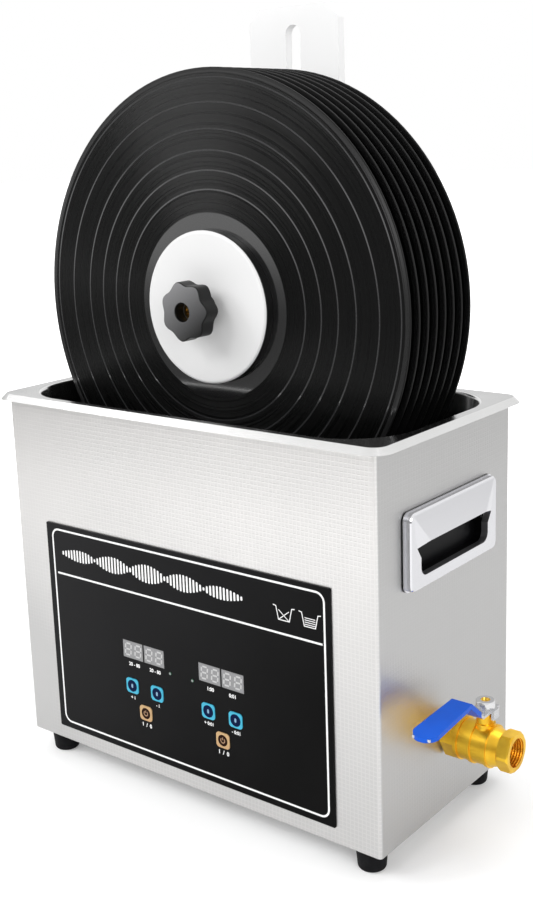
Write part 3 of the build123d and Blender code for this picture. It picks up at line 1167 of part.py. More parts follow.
def slide_block():
    """Guide whose tongue runs in the slot and whose flange bears on the front of the plate."""
    bottom = SPINDLE_HEIGHT - TONGUE_BELOW
    top = SPINDLE_HEIGHT + TONGUE_ABOVE
    seat = PLATE_FRONT - SLIDE_GAP
    half = SLOT_WIDTH / 2 - SLIDE_GAP
    guide = block(-half, half, seat, BOX_FRONT, bottom, top)
    guide += slab(SLIDE_FLANGE_WIDTH, top - bottom + 2 * SLIDE_FLANGE_MARGIN, PLATE_CORNER,
                  seat - SLIDE_FLANGE_THICKNESS, seat, 0, (top + bottom) / 2)
    guide -= rod_y(SHAFT_RADIUS + RUNNING_GAP, seat - 2 * SLIDE_FLANGE_THICKNESS, BOX_FRONT + 1, 0,
                   SPINDLE_HEIGHT)
    return guide - rod_y(CLAMP_HOLE_RADIUS, seat, BOX_FRONT + 1, 0, LOCK_SCREW_Z)


def motor_box():
    """Moulded motor housing, open at the back, with a lug above it for the lock screw."""
    box = slab(MOTOR_BOX_WIDTH, MOTOR_BOX_HEIGHT, MOTOR_BOX_CORNER, BOX_FRONT, BOX_BACK, 0, SPINDLE_HEIGHT)
    inner = MOTOR_BOX_WIDTH - 2 * MOTOR_BOX_WALL
    height = MOTOR_BOX_HEIGHT - 2 * MOTOR_BOX_WALL
    box -= slab(inner, height, MOTOR_BOX_CORNER - MOTOR_BOX_WALL, BOX_FRONT + MOTOR_BOX_WALL, BOX_BACK + 1,
                0, SPINDLE_HEIGHT)
    half = SLIDE_FLANGE_WIDTH / 2
    root = SPINDLE_HEIGHT + MOTOR_BOX_HEIGHT / 2
    lug = block(-half, half, BOX_FRONT, BOX_FRONT + LUG_THICKNESS, root, LUG_TOP)
    box += fillet(lug.edges().filter_by(Axis.Y).group_by(Axis.Z)[-1], MOTOR_BOX_CORNER)
    box -= rod_y(CLAMP_HOLE_RADIUS, BOX_FRONT - 1, BOX_FRONT + LUG_THICKNESS + 1, 0, LOCK_SCREW_Z)
    box -= rod_y(SHAFT_RADIUS + RUNNING_GAP, BOX_FRONT - 1, BOX_FRONT + 2 * MOTOR_BOX_WALL, 0,
                 SPINDLE_HEIGHT)
    wall = MOTOR_BOX_WIDTH / 2
    return box - rod_x(SOCKET_RADIUS + THREAD_GAP, wall - 2 * MOTOR_BOX_WALL, wall + 1, SOCKET_Y, SOCKET_Z)


SOCKET_Y = BOX_BACK - SOCKET_FROM_BACK
SOCKET_Z = SPINDLE_HEIGHT - SOCKET_DROP


def motor_cover():
    """Screwless rear cover of the motor box, located by a rib."""
    cover = slab(MOTOR_BOX_WIDTH, MOTOR_BOX_HEIGHT, MOTOR_BOX_CORNER, BOX_BACK,
                 BOX_BACK + MOTOR_COVER_THICKNESS,
                 0, SPINDLE_HEIGHT)
    cover = fillet(cover.faces().sort_by(Axis.Y)[-1].edges(), SHEET)
    width = MOTOR_BOX_WIDTH - 2 * (MOTOR_BOX_WALL + SLIDE_GAP)
    height = MOTOR_BOX_HEIGHT - 2 * (MOTOR_BOX_WALL + SLIDE_GAP)
    rib = slab(width, height, MOTOR_BOX_CORNER - MOTOR_BOX_WALL, BOX_BACK - MOTOR_COVER_RIB, BOX_BACK,
               0, SPINDLE_HEIGHT)
    inside = MOTOR_BOX_WALL - SHEET
    rib -= block(inside - width / 2, width / 2 - inside, BOX_BACK - 2 * MOTOR_COVER_RIB, BOX_BACK,
                 SPINDLE_HEIGHT + inside - height / 2, SPINDLE_HEIGHT + height / 2 - inside)
    return cover + rib


def gear_motor():
    """Geared motor fixed to the inside of the box front."""
    front = BOX_FRONT + MOTOR_BOX_WALL
    motor = rod_y(GEARBOX_RADIUS, front, front + GEARBOX_LENGTH, 0, SPINDLE_HEIGHT)
    motor += rod_y(MOTOR_RADIUS, front + GEARBOX_LENGTH, front + GEARBOX_LENGTH + MOTOR_LENGTH, 0,
                   SPINDLE_HEIGHT)
    return motor - rod_y(SHAFT_RADIUS + RUNNING_GAP, front - 1, SHAFT_END + FIT_GAP, 0, SPINDLE_HEIGHT)


def motor_shaft():
    """Gearbox output shaft that reaches through the slide block into the coupling."""
    return rod_y(SHAFT_RADIUS, COUPLING_FRONT, SHAFT_END, 0, SPINDLE_HEIGHT)


def low_voltage_socket():
    """Round direct-current socket in the side of the motor box, with its centre pin."""
    wall = MOTOR_BOX_WIDTH / 2
    back = wall + SOCKET_FLANGE - SOCKET_LENGTH
    socket = rod_x(SOCKET_RADIUS, back, wall, SOCKET_Y, SOCKET_Z)
    socket += rod_x(SOCKET_FLANGE_RADIUS, wall, wall + SOCKET_FLANGE, SOCKET_Y, SOCKET_Z)
    floor = wall + SOCKET_FLANGE - SOCKET_DEPTH
    socket -= rod_x(SOCKET_BORE, floor, wall + 2 * SOCKET_FLANGE, SOCKET_Y, SOCKET_Z)
    return socket + rod_x(SOCKET_PIN, floor, wall, SOCKET_Y, SOCKET_Z)


# ---------------------------------------------------------------- spindle and records
LABEL_HALF = RECORD_LABEL_THICKNESS / 2
FIRST_RECORD = STACK_FRONT + RECORD_BEAD / 2
LAST_RECORD = FIRST_RECORD + (RECORD_COUNT - 1) * RECORD_PITCH
STACK_BACK = LAST_RECORD + LABEL_HALF
FRONT_DISC_FACE = FIRST_RECORD - LABEL_HALF - FRONT_DISC_THICKNESS
COUPLING_FRONT = STACK_BACK + REAR_DISC_THICKNESS + HUB_LENGTH


def record_mids():
    """Mid-planes of the records, front to back."""
    return [FIRST_RECORD + i * RECORD_PITCH for i in range(RECORD_COUNT)]


def turned(profile, y):
    """A body turned about the spindle from (radius, distance) corners measured from y."""
    plane = Plane((0, y, SPINDLE_HEIGHT), x_dir=(1, 0, 0), z_dir=(0, 0, -1))
    return revolve(plane * make_face(Polyline(*profile, close=True)),
                   Axis((0, y, SPINDLE_HEIGHT), (0, 1, 0)))


def records():
    """Twelve-inch records: raised label area, thinner grooved area and a thicker outer bead."""
    groove = RECORD_GROOVE_THICKNESS / 2
    bead = RECORD_BEAD / 2
    inner = RECORD_RADIUS - RECORD_BEAD_WIDTH
    half = [
        (RECORD_HOLE, LABEL_HALF), (RECORD_LABEL_RADIUS, LABEL_HALF), (RECORD_LABEL_RADIUS, groove),
        (inner, groove), (inner + bead, bead), (RECORD_RADIUS - bead / 2, bead), (RECORD_RADIUS, bead / 2),
    ]
    profile = half + [(r, -t) for r, t in reversed(half)]
    return [turned(profile, y) for y in record_mids()]


def record_spacers():
    """Spacer discs that clamp the label areas and hold the seals."""
    discs = []
    for y in record_mids()[:-1]:
        front = y + LABEL_HALF
        disc = rod_y(DISC_RADIUS, front, y + RECORD_PITCH - LABEL_HALF, 0, SPINDLE_HEIGHT)
        disc -= rod_y(RECORD_HOLE, front - 1, y + RECORD_PITCH, 0, SPINDLE_HEIGHT)
        disc -= seal_ring(front) + seal_ring(y + RECORD_PITCH - LABEL_HALF - SEAL_DEPTH)
        discs.append(disc)
    return discs


def seal_ring(y, proud=0.0):
    """A flat ring that fills a seal groove starting at y."""
    ring = rod_y(SEAL_OUTER, y, y + SEAL_DEPTH + proud, 0, SPINDLE_HEIGHT)
    return ring - rod_y(SEAL_INNER, y - 1, y + SEAL_DEPTH + proud + 1, 0, SPINDLE_HEIGHT)


def label_seals():
    """Soft rings that press on the smooth band around every label, front and back."""
    proud = LABEL_HALF - RECORD_GROOVE_THICKNESS / 2
    seals = []
    for y in record_mids():
        seals.append(seal_ring(y - LABEL_HALF - SEAL_DEPTH, proud))
        seals.append(seal_ring(y + LABEL_HALF - proud, proud))
    return seals


def front_disc():
    """Removable front clamping disc."""
    back = FIRST_RECORD - LABEL_HALF
    disc = rod_y(DISC_RADIUS, FRONT_DISC_FACE, back, 0, SPINDLE_HEIGHT)
    disc = fillet(disc.edges().group_by(Axis.Y)[0], FRONT_DISC_EDGE)
    disc -= rod_y(RECORD_HOLE, FRONT_DISC_FACE - 1, back + 1, 0, SPINDLE_HEIGHT)
    return disc - seal_ring(back - SEAL_DEPTH)


def rear_disc():
    """Fixed rear clamping disc with its hub."""
    disc = rod_y(DISC_RADIUS, STACK_BACK, STACK_BACK + REAR_DISC_THICKNESS, 0, SPINDLE_HEIGHT)
    disc += rod_y(HUB_RADIUS, STACK_BACK, COUPLING_FRONT, 0, SPINDLE_HEIGHT)
    disc -= rod_y(SPINDLE_RADIUS, STACK_BACK - 1, COUPLING_FRONT + 1, 0, SPINDLE_HEIGHT)
    return disc - seal_ring(STACK_BACK)


def spindle():
    """Spindle rod with the coupling that takes the motor shaft."""
    rod = rod_y(SPINDLE_RADIUS, SPINDLE_END, COUPLING_FRONT, 0, SPINDLE_HEIGHT)
    coupling = rod_y(COUPLING_RADIUS, COUPLING_FRONT, COUPLING_FRONT + COUPLING_LENGTH, 0, SPINDLE_HEIGHT)
    return rod + coupling - rod_y(SHAFT_RADIUS, COUPLING_FRONT, COUPLING_FRONT + 2 * COUPLING_LENGTH,
                                  0, SPINDLE_HEIGHT)


KNOB_BACK = FRONT_DISC_FACE - KNOB_GAP
KNOB_FRONT = KNOB_BACK - KNOB_LENGTH


def star_knob():
    """Seven-lobed clamping knob with a domed front, a recess in its middle and a bored hub."""
    plane = Plane((0, KNOB_FRONT, SPINDLE_HEIGHT), x_dir=(1, 0, 0), z_dir=(0, 1, 0))
    head = extrude(plane * Rot(0, 0, KNOB_TURN) * lobed(KNOB_RADIUS, KNOB_LOBES), KNOB_LOBE_LENGTH)
    dome = (KNOB_RADIUS ** 2 + KNOB_DOME ** 2) / (2 * KNOB_DOME)
    head &= Pos(0, KNOB_FRONT + dome, SPINDLE_HEIGHT) * Sphere(dome)
    knob = fillet(head.edges(), SHEET)
    knob += rod_y(KNOB_HUB_RADIUS, KNOB_FRONT + KNOB_LOBE_LENGTH, KNOB_BACK, 0, SPINDLE_HEIGHT)
    knob -= rod_y(KNOB_RECESS_RADIUS, KNOB_FRONT, KNOB_FRONT + KNOB_RECESS_DEPTH, 0, SPINDLE_HEIGHT)
    knob = fillet(knob.edges().filter_by(GeomType.CIRCLE).sort_by(Axis.Y)[0], KNOB_RECESS_EDGE)
    return knob - rod_y(INSERT_RADIUS, KNOB_FRONT + KNOB_RECESS_DEPTH, KNOB_BACK, 0, SPINDLE_HEIGHT)


def knob_insert():
    """Brass insert moulded into the knob."""
    start = KNOB_FRONT + KNOB_RECESS_DEPTH
    insert = rod_y(INSERT_RADIUS, start, KNOB_BACK, 0, SPINDLE_HEIGHT)
    return insert - rod_y(INSERT_BORE, start - 1, KNOB_BACK + 1, 0, SPINDLE_HEIGHT)


# ---------------------------------------------------------------- files
os.makedirs("parts", exist_ok=True)

write("tank", tank())
write("outer_casing", outer_casing())
write("bottom_plate", bottom_plate())
write("rubber_feet", Compound(children=rubber_feet()))
write("machine_screws", Compound(children=machine_screws()))

write("front_panel", front_panel())
for name, x in DISPLAY_X.items():
    write(name, Compound(children=display_module(x)))
write("control_board", control_board())
for name, (x, z) in BUTTONS.items():
    write(name, button(x, z))

right_frame = handle_frame()
right_pocket = handle_pocket()
write("handle_frame_right", right_frame)
write("handle_frame_left", mirror(right_frame, about=Plane.YZ))
write("handle_pocket_right", right_pocket)
write("handle_pocket_left", mirror(right_pocket, about=Plane.YZ))

write("drain_hose", drain_hose())
write("hose_clamps", Compound(children=hose_clamps()))
write("drain_nipple", drain_nipple())
write("nipple_locknut", nipple_locknut())
write("valve_adapter", valve_adapter())
write("valve_body", valve_body())
write("valve_seats", Compound(children=valve_seats()))
write("valve_ball", valve_ball())
write("valve_stem", valve_stem())
write("valve_lever", valve_lever())
write("lever_sleeve", lever_sleeve())
write("lever_nut", lever_nut())

write("transducer_horns", Compound(children=transducer_horns()))
write("transducer_piezos", Compound(children=transducer_piezos()))
write("transducer_back_masses", Compound(children=transducer_back_masses()))
write("heater_pads", Compound(children=heater_pads()))
write("generator_board", generator_board())
write("fan_frame", fan_frame())
write("fan_rotor", fan_rotor())
write("mains_inlet", mains_inlet())
write("switch_body", switch_body())
write("switch_rocker", switch_rocker())

write("lift_plate", lift_plate())
write("rim_hook", rim_hook())
write("hook_clamp_knob", clamp_knob(BACK + BALL_GAP, HOOK_OUTER_FACE + CLAMP_NECK_LENGTH, HOOK_KNOB_Z))
write("slide_block", slide_block())
write("motor_box", motor_box())
write("motor_cover", motor_cover())
write("gear_motor", gear_motor())
write("motor_shaft", motor_shaft())
write("carriage_lock_knob", clamp_knob(PLATE_FRONT + SHEET, BOX_FRONT + LUG_THICKNESS, LOCK_SCREW_Z))
write("low_voltage_socket", low_voltage_socket())

write("spindle", spindle())
write("rear_disc", rear_disc())
write("records", Compound(children=records()))
write("record_spacers", Compound(children=record_spacers()))
write("label_seals", Compound(children=label_seals()))
write("front_disc", front_disc())
write("star_knob", star_knob())
write("knob_insert", knob_insert())
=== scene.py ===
from math import cos, pi, radians, sin

import bmesh
import bpy
from mathutils import Matrix, Vector


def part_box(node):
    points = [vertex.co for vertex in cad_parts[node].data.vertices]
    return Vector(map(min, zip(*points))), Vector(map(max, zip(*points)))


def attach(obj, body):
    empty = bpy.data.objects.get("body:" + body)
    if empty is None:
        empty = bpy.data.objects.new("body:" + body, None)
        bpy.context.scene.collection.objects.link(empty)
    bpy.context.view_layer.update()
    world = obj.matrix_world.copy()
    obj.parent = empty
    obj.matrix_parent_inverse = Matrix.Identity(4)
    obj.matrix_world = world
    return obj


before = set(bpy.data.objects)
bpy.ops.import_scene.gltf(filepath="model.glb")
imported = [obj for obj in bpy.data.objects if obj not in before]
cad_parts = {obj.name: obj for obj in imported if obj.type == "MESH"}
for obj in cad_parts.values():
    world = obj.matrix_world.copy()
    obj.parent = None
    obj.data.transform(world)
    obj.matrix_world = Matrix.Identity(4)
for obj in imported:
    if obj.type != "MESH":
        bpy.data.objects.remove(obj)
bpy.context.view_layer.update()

MM = 0.001
casing_low, casing_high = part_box("outer_casing")
MIDDLE = Vector(((casing_low.x + casing_high.x) / 2, (casing_low.y + casing_high.y) / 2, 0))


# Wash tank: one piece of stainless sheet, deep drawn to a bath with round corners and a flat rim that is
# turned down at its edge.  The turned edge is bright.  The flat of the rim is painted darker as a reflection,
# and the bath's walls below the rim are painted darker as shade.
class Value:
    """A number in a node tree.  Sums of values add their own Math nodes."""

    def __init__(self, sheet, socket):
        self.sheet = sheet
        self.socket = socket

    def maths(self, operation, *others):
        sockets = [self.socket] + [o.socket if isinstance(o, Value) else o for o in others]
        return self.sheet.value("ShaderNodeMath", {"operation": operation}, dict(enumerate(sockets)))

    def __add__(self, other):
        return self.maths("ADD", other)

    def __sub__(self, other):
        return self.maths("SUBTRACT", other)

    def __mul__(self, other):
        return self.maths("MULTIPLY", other)

    def __truediv__(self, other):
        return self.maths("DIVIDE", other)

    def __rsub__(self, other):
        return self.maths("MULTIPLY", -1.0).maths("ADD", other)

    __radd__ = __add__
    __rmul__ = __mul__

    def clamp(self):
        return self.maths("MAXIMUM", 0.0).maths("MINIMUM", 1.0)

    def step(self, low, high):
        """0 below low, 1 above high, smooth between."""
        return self.sheet.value("ShaderNodeMapRange", {"interpolation_type": "SMOOTHSTEP"},
                                {"Value": self.socket, "From Min": low, "From Max": high})


class Sheet:
    """A node tree that nodes are added to."""

    def __init__(self, tree):
        self.tree = tree

    def node(self, kind, settings, inputs):
        """A node of this kind: its settings first, then the values or links of its sockets."""
        made = self.tree.nodes.new(kind)
        for name, setting in settings.items():
            setattr(made, name, setting)
        for name, given in inputs.items():
            source = given.socket if isinstance(given, Value) else given
            if isinstance(source, bpy.types.NodeSocket):
                self.tree.links.new(source, made.inputs[name])
            else:
                made.inputs[name].default_value = source
        return made

    def value(self, kind, settings, inputs, output=0):
        return Value(self, self.node(kind, settings, inputs).outputs[output])


class Finish(Sheet):
    """A material made of one Principled shader and the nodes that vary it."""

    def __init__(self, name, color, roughness, metallic=0.0, **constants):
        self.material = bpy.data.materials.new(name)
        self.material.use_nodes = True
        super().__init__(self.material.node_tree)
        self.shader = self.tree.nodes["Principled BSDF"]
        self.set("Base Color", (*color, 1.0))
        self.set("Roughness", roughness)
        self.set("Metallic", metallic)
        for socket, value in constants.items():
            self.set(socket.replace("_", " "), value)
        self.material.diffuse_color = (*color, 1.0)

    def set(self, socket, value):
        self.shader.inputs[socket].default_value = value

    def place(self):
        """The X, Y and Z of the point on the piece, in millimetres from the middle of the casing."""
        here = self.node("ShaderNodeTexCoord", {}, {}).outputs["Object"]
        split = self.node("ShaderNodeSeparateXYZ", {}, {0: here})
        axes = [Value(self, split.outputs[i]) for i in range(3)]
        return [(axis - MIDDLE[i]) * 1000.0 for i, axis in enumerate(axes)]

    def facing(self):
        """How far the surface faces along X, Y and Z, without sign."""
        normal = self.node("ShaderNodeNewGeometry", {}, {}).outputs["True Normal"]
        split = self.node("ShaderNodeSeparateXYZ", {}, {0: normal})
        return [Value(self, split.outputs[i]).maths("ABSOLUTE") for i in range(3)]

    def noise(self, scale, detail, stretch=(1, 1, 1)):
        """Soft noise, 0 to 1, with scale in lumps per metre."""
        here = self.node("ShaderNodeTexCoord", {}, {}).outputs["Object"]
        spread = self.node("ShaderNodeMapping", {}, {"Vector": here, "Scale": stretch}).outputs[0]
        return self.value("ShaderNodeTexNoise", {}, {"Vector": spread, "Scale": scale, "Detail": detail})

    def mix(self, share, first, second):
        """A colour between two colours."""
        made = self.tree.nodes.new("ShaderNodeMix")
        made.data_type = "RGBA"
        slots = [s for s in made.inputs if s.type == "RGBA"]
        for slot, given in zip(slots, (first, second)):
            if isinstance(given, bpy.types.NodeSocket):
                self.tree.links.new(given, slot)
            else:
                slot.default_value = (*given, 1.0)
        self.tree.links.new(share.socket, made.inputs[0])
        return [s for s in made.outputs if s.type == "RGBA"][0]

    def feed(self, socket, source):
        self.tree.links.new(source.socket if isinstance(source, Value) else source, self.shader.inputs[socket])

    def bump(self, height, depth, strength=1.0):
        """Relief on the surface: height is 0 to 1 and depth is in millimetres."""
        made = self.node("ShaderNodeBump", {}, {"Height": height, "Distance": depth * MM, "Strength": strength})
        self.feed("Normal", made.outputs[0])


def dress(finish, slot, *nodes):
    """Give a finish to solids of the model."""
    for name in nodes:
        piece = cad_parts[name]
        piece.data.materials.clear()
        piece.data.materials.append(finish.material)


drawn = Finish("drawn_stainless", (0.66, 0.66, 0.655), 0.24, 1.0)
grain = drawn.noise(900.0, 3.0, (1.0, 1.0, 0.08))
cloud = drawn.noise(28.0, 2.0)
drawn.feed("Roughness", 0.12 + grain * 0.08 + cloud * 0.08)
_, _, height = drawn.place()
_, _, level_on = drawn.facing()
# Level faces, the flat of the rim among them, are painted darker: a painted reflection.
rim_painted_reflection = level_on.step(0.90, 0.99) * 0.65
# The bath's walls below the rim are painted darker: painted shade inside the tank.
bath_painted_shade = 1 - (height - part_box("tank")[1].z / MM).step(-22.0, -6.0)
tone_and_painted_light = (cloud * 0.4 + bath_painted_shade + rim_painted_reflection).clamp()
drawn.feed("Base Color", drawn.mix(tone_and_painted_light, (0.80, 0.80, 0.795), (0.42, 0.42, 0.42)))
drawn.bump(grain, 0.02, 0.35)
dress(drawn, "drawn_stainless", "tank")


# Outer casing: stainless sheet rolled with a fine square relief, folded round the tank and welded at the
# back.  The relief is shallow, so it only shows as a faint net of light and dark, weaker to the left.
NET_PITCH = 2.9
embossed = Finish("embossed_stainless", (0.74, 0.73, 0.72), 0.36, 1.0)
x, y, z = embossed.place()
side_on, _, _ = embossed.facing()
across = x * (1 - side_on.step(0.4, 0.6)) + y * side_on.step(0.4, 0.6)
upright_wires = (across * (2 * pi / NET_PITCH)).maths("COSINE")
level_wires = (z * (2 * pi / NET_PITCH)).maths("COSINE")
net = upright_wires.maths("MAXIMUM", level_wires).step(0.55, 0.98) * (0.4 + 0.6 * x.step(-165.0, -40.0))
cloud = embossed.noise(9.0, 2.0)
fine = embossed.noise(1500.0, 2.0)
embossed.feed("Roughness", 0.30 + cloud * 0.12 + fine * 0.06 - net * 0.06)
# Lighter towards the top of the wall, under the lid's lip: a painted highlight.
tone_and_painted_light = (cloud * 0.23 + (1 - net) * 0.13 + fine * 0.08 + 0.28 - z.step(150.0, 235.0) * 0.38).clamp()
# Darker towards the foot of the wall, more so on the left: painted shade.
foot_painted_shade = 1 - z.step(70.0, 190.0)
tone_and_painted_light = tone_and_painted_light + foot_painted_shade * (0.55 - x.step(-150.0, -60.0) * 0.42)
# The side faces are painted darker than the front: painted shade.
tone_and_painted_light = (tone_and_painted_light + side_on.step(0.85, 0.97)).clamp()
embossed.feed("Base Color", embossed.mix(tone_and_painted_light, (0.93, 0.915, 0.90), (0.56, 0.557, 0.553)))
embossed.bump(net + fine * 0.06, 0.06, 0.6)
dress(embossed, "embossed_stainless", "outer_casing")


# Bottom plate: a plain stainless tray, folded up at its edges and screwed on together with the feet.
# The four feet are black rubber buffers, and the screws are bright zinc-plated pan heads.
plain = Finish("plain_stainless", (0.55, 0.55, 0.55), 0.38, 1.0)
grain = plain.noise(700.0, 3.0, (0.06, 1.0, 1.0))
plain.feed("Roughness", 0.30 + grain * 0.18)
plain.bump(grain, 0.02, 0.4)
dress(plain, "plain_stainless", "bottom_plate")

rubber = Finish("black_rubber", (0.004, 0.004, 0.005), 0.62, Specular_IOR_Level=0.15)
grit = rubber.noise(1400.0, 3.0)
dust = rubber.noise(90.0, 2.0)
rubber.feed("Roughness", 0.52 + grit * 0.2)
rubber.feed("Base Color", rubber.mix(dust.step(0.45, 0.75), (0.003, 0.003, 0.004), (0.007, 0.007, 0.008)))
rubber.bump(grit, 0.05, 0.4)
dress(rubber, "black_rubber", "rubber_feet")

zinc = Finish("zinc_steel", (0.66, 0.67, 0.69), 0.25, 1.0)
patch = zinc.noise(260.0, 3.0)
zinc.feed("Roughness", 0.16 + patch * 0.2)
zinc.feed("Base Color", zinc.mix(patch, (0.58, 0.59, 0.61), (0.74, 0.74, 0.75)))
zinc.bump(patch, 0.03, 0.3)
dress(zinc, "zinc_steel", "machine_screws", "hose_clamps", "valve_lever", "transducer_back_masses",
      "gear_motor", "motor_shaft", "spindle")


# Side handles: zinc castings in bright chromium plate, with a hood over the finger grip, pushed into a
# hole in the casing.  Their edges are painted darker as a reflection, and a thin black line is painted as
# shade where they meet the casing.  A black moulded tray behind each one closes the hole.
CASING_SIDE = (casing_high.x - MIDDLE.x) / MM
chrome = Finish("handle_chrome", (0.70, 0.70, 0.71), 0.10, 1.0)
ripple = chrome.noise(60.0, 2.0)
haze = chrome.noise(500.0, 2.0)
out, _, _ = chrome.facing()
from_wall, _, _ = chrome.place()
edge = 1 - out.step(0.25, 0.55)
# A thin black line along the edges next to the casing wall: painted shade.
wall_line_painted_shade = edge * (1 - (from_wall.maths("ABSOLUTE") - CASING_SIDE).step(0.7, 0.9))
chrome.feed("Roughness", 0.07 + haze * 0.06 + ripple * 0.03 + edge * 0.25)
# The edges, which do not face along X, are painted darker: a painted reflection.
plating_and_painted_reflection = chrome.mix(edge, (0.80, 0.80, 0.825), (0.54, 0.54, 0.56))
chrome.feed("Base Color", chrome.mix(wall_line_painted_shade, plating_and_painted_reflection, (0.004, 0.004, 0.004)))
chrome.bump(ripple, 0.15, 0.35)
dress(chrome, "handle_chrome", "handle_frame_left", "handle_frame_right")

tray = Finish("pocket_black", (0.0015, 0.0015, 0.002), 0.34, Specular_IOR_Level=0.10)
grain = tray.noise(1800.0, 2.0)
tray.feed("Roughness", 0.28 + grain * 0.16)
tray.bump(grain, 0.02, 0.4)
dress(tray, "pocket_black", "handle_pocket_left", "handle_pocket_right")


# Front panel: an aluminium plate with a black polyester facing, printed in white with a rounded frame, a
# dividing line, a band of tapering bars, two basket signs and the marks at the displays and keys.
PANEL_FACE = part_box("front_panel")[0].y
INK = 0.05 * MM
polyester = Finish("panel_black", (0.006, 0.006, 0.006), 0.36, Specular_IOR_Level=0.07)
weave = polyester.noise(2200.0, 2.0)
cloud = polyester.noise(14.0, 2.0)
x, y, z = polyester.place()
# Lighter towards the upper left is painted sheen; the cloud adds a random mottle.
painted_sheen_and_mottle = ((z - x) * 0.003 + cloud * 0.3 - 0.1).clamp()
polyester.feed("Roughness", 0.30 + weave * 0.12 + cloud * 0.06)
polyester.feed("Base Color", polyester.mix(painted_sheen_and_mottle, (0.001, 0.001, 0.001), (0.015, 0.015, 0.016)))
polyester.bump(weave, 0.01, 0.35)
dress(polyester, "panel_black", "front_panel")


class Growth(Sheet):
    """A piece that geometry nodes grow from named sizes."""

    def __init__(self, name, **sizes):
        super().__init__(bpy.data.node_groups.new(name, "GeometryNodeTree"))
        self.name = name
        self.sizes = sizes
        self.tree.interface.new_socket("Geometry", in_out="OUTPUT", socket_type="NodeSocketGeometry")
        for size, given in sizes.items():
            kind = "NodeSocketInt" if isinstance(given, int) else "NodeSocketFloat"
            self.tree.interface.new_socket(size, in_out="INPUT", socket_type=kind)
        self.given = self.tree.nodes.new("NodeGroupInput")

    def size(self, name):
        return Value(self, self.given.outputs[name])

    def mesh(self, shape, finish):
        """The shape that the nodes grow, in its finish, as an object with a plain mesh."""
        solid = self.node("GeometryNodeRealizeInstances", {}, {"Geometry": shape.outputs[0]})
        painted = self.node("GeometryNodeSetMaterial", {}, {"Geometry": solid.outputs[0],
                                                            "Material": finish.material})
        self.node("NodeGroupOutput", {}, {"Geometry": painted.outputs[0]})
        piece = bpy.data.objects.new(self.name, bpy.data.meshes.new(self.name))
        bpy.context.scene.collection.objects.link(piece)
        grower = piece.modifiers.new(self.name, "NODES")
        grower.node_group = self.tree
        for item in self.tree.interface.items_tree:
            if item.in_out == "INPUT":
                grower[item.identifier] = self.sizes[item.name]
        bpy.context.view_layer.update()
        grown = bpy.data.meshes.new_from_object(piece.evaluated_get(bpy.context.evaluated_depsgraph_get()))
        piece.modifiers.clear()
        grown.materials.clear()
        grown.materials.append(finish.material)
        grown.polygons.foreach_set("material_index", [0] * len(grown.polygons))
        piece.data = grown
        return piece


def paint_of(name, color, roughness=0.5, **constants):
    """Printing ink: an even colour with a slight unevenness in its film."""
    made = Finish(name, color, roughness, **constants)
    film = made.noise(1600.0, 2.0)
    made.feed("Roughness", roughness - 0.06 + film * 0.12)
    thick, thin = tuple(c * 0.95 for c in color), tuple(min(1.0, c * 1.04) for c in color)
    made.feed("Base Color", made.mix(film, thick, thin))
    return made


SHARPEST_MITRE = 0.35


def stroke(points, width, closed=False):
    """Quads of a line of even width through points, with mitred corners."""
    places = [Vector(p) for p in points]
    count = len(places)
    rails = []
    for i, here in enumerate(places):
        before = places[i - 1] if (i or closed) else None
        after = places[(i + 1) % count] if (i + 1 < count or closed) else None
        arriving = (here - before).normalized() if before is not None else None
        leaving = (after - here).normalized() if after is not None else arriving
        arriving = arriving or leaving
        along = (arriving + leaving).normalized()
        reach = width / 2 / max(SHARPEST_MITRE, along.dot(arriving))
        across = Vector((-along.y, along.x)) * reach
        rails.append((here + across, here - across))
    quads = []
    for i in range(count if closed else count - 1):
        (left, right), (next_left, next_right) = rails[i], rails[(i + 1) % count]
        quads.append([left, next_left, next_right, right])
    return quads


def arc(centre, radius, start, end, steps):
    """Points on an arc, in degrees counted from +X towards +Z."""
    angles = [radians(start + (end - start) * i / steps) for i in range(steps + 1)]
    return [(centre[0] + radius * cos(a), centre[1] + radius * sin(a)) for a in angles]


def rounded(left, right, low, high, radius, steps=8):
    """Corner points of a rounded rectangle."""
    corners = [((right - radius, high - radius), 0), ((left + radius, high - radius), 90),
               ((left + radius, low + radius), 180), ((right - radius, low + radius), 270)]
    return [p for centre, turn in corners for p in arc(centre, radius, turn, turn + 90, steps)]


def lay_on(name, mesh, finish, body):
    """Make an object of a mesh, in its finish, that moves with a body."""
    piece = bpy.data.objects.new(name, bpy.data.meshes.new(name))
    mesh.to_mesh(piece.data)
    mesh.free()
    bpy.context.scene.collection.objects.link(piece)
    piece.data.materials.append(finish.material)
    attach(piece, body)


def printed(name, shapes, face, thickness, finish, body):
    """Flat shapes given as outlines in millimetres (x, z), standing out of a face that looks to the front."""
    mesh = bmesh.new()
    for outline in shapes:
        spots = [(MIDDLE.x + px * MM, pz * MM) for px, pz in outline]
        area = sum(a[0] * b[1] - b[0] * a[1] for a, b in zip(spots, spots[1:] + spots[:1]))
        if area < 0:
            spots.reverse()
        front = [mesh.verts.new((px, face - thickness, pz)) for px, pz in spots]
        back = [mesh.verts.new((px, face, pz)) for px, pz in spots]
        mesh.faces.new(front)
        mesh.faces.new(list(reversed(back)))
        for i in range(len(front)):
            j = (i + 1) % len(front)
            mesh.faces.new((front[j], front[i], back[i], back[j]))
    lay_on(name, mesh, finish, body)


CAPITAL_SHARE = 0.7
WELD = 0.0002 * MM


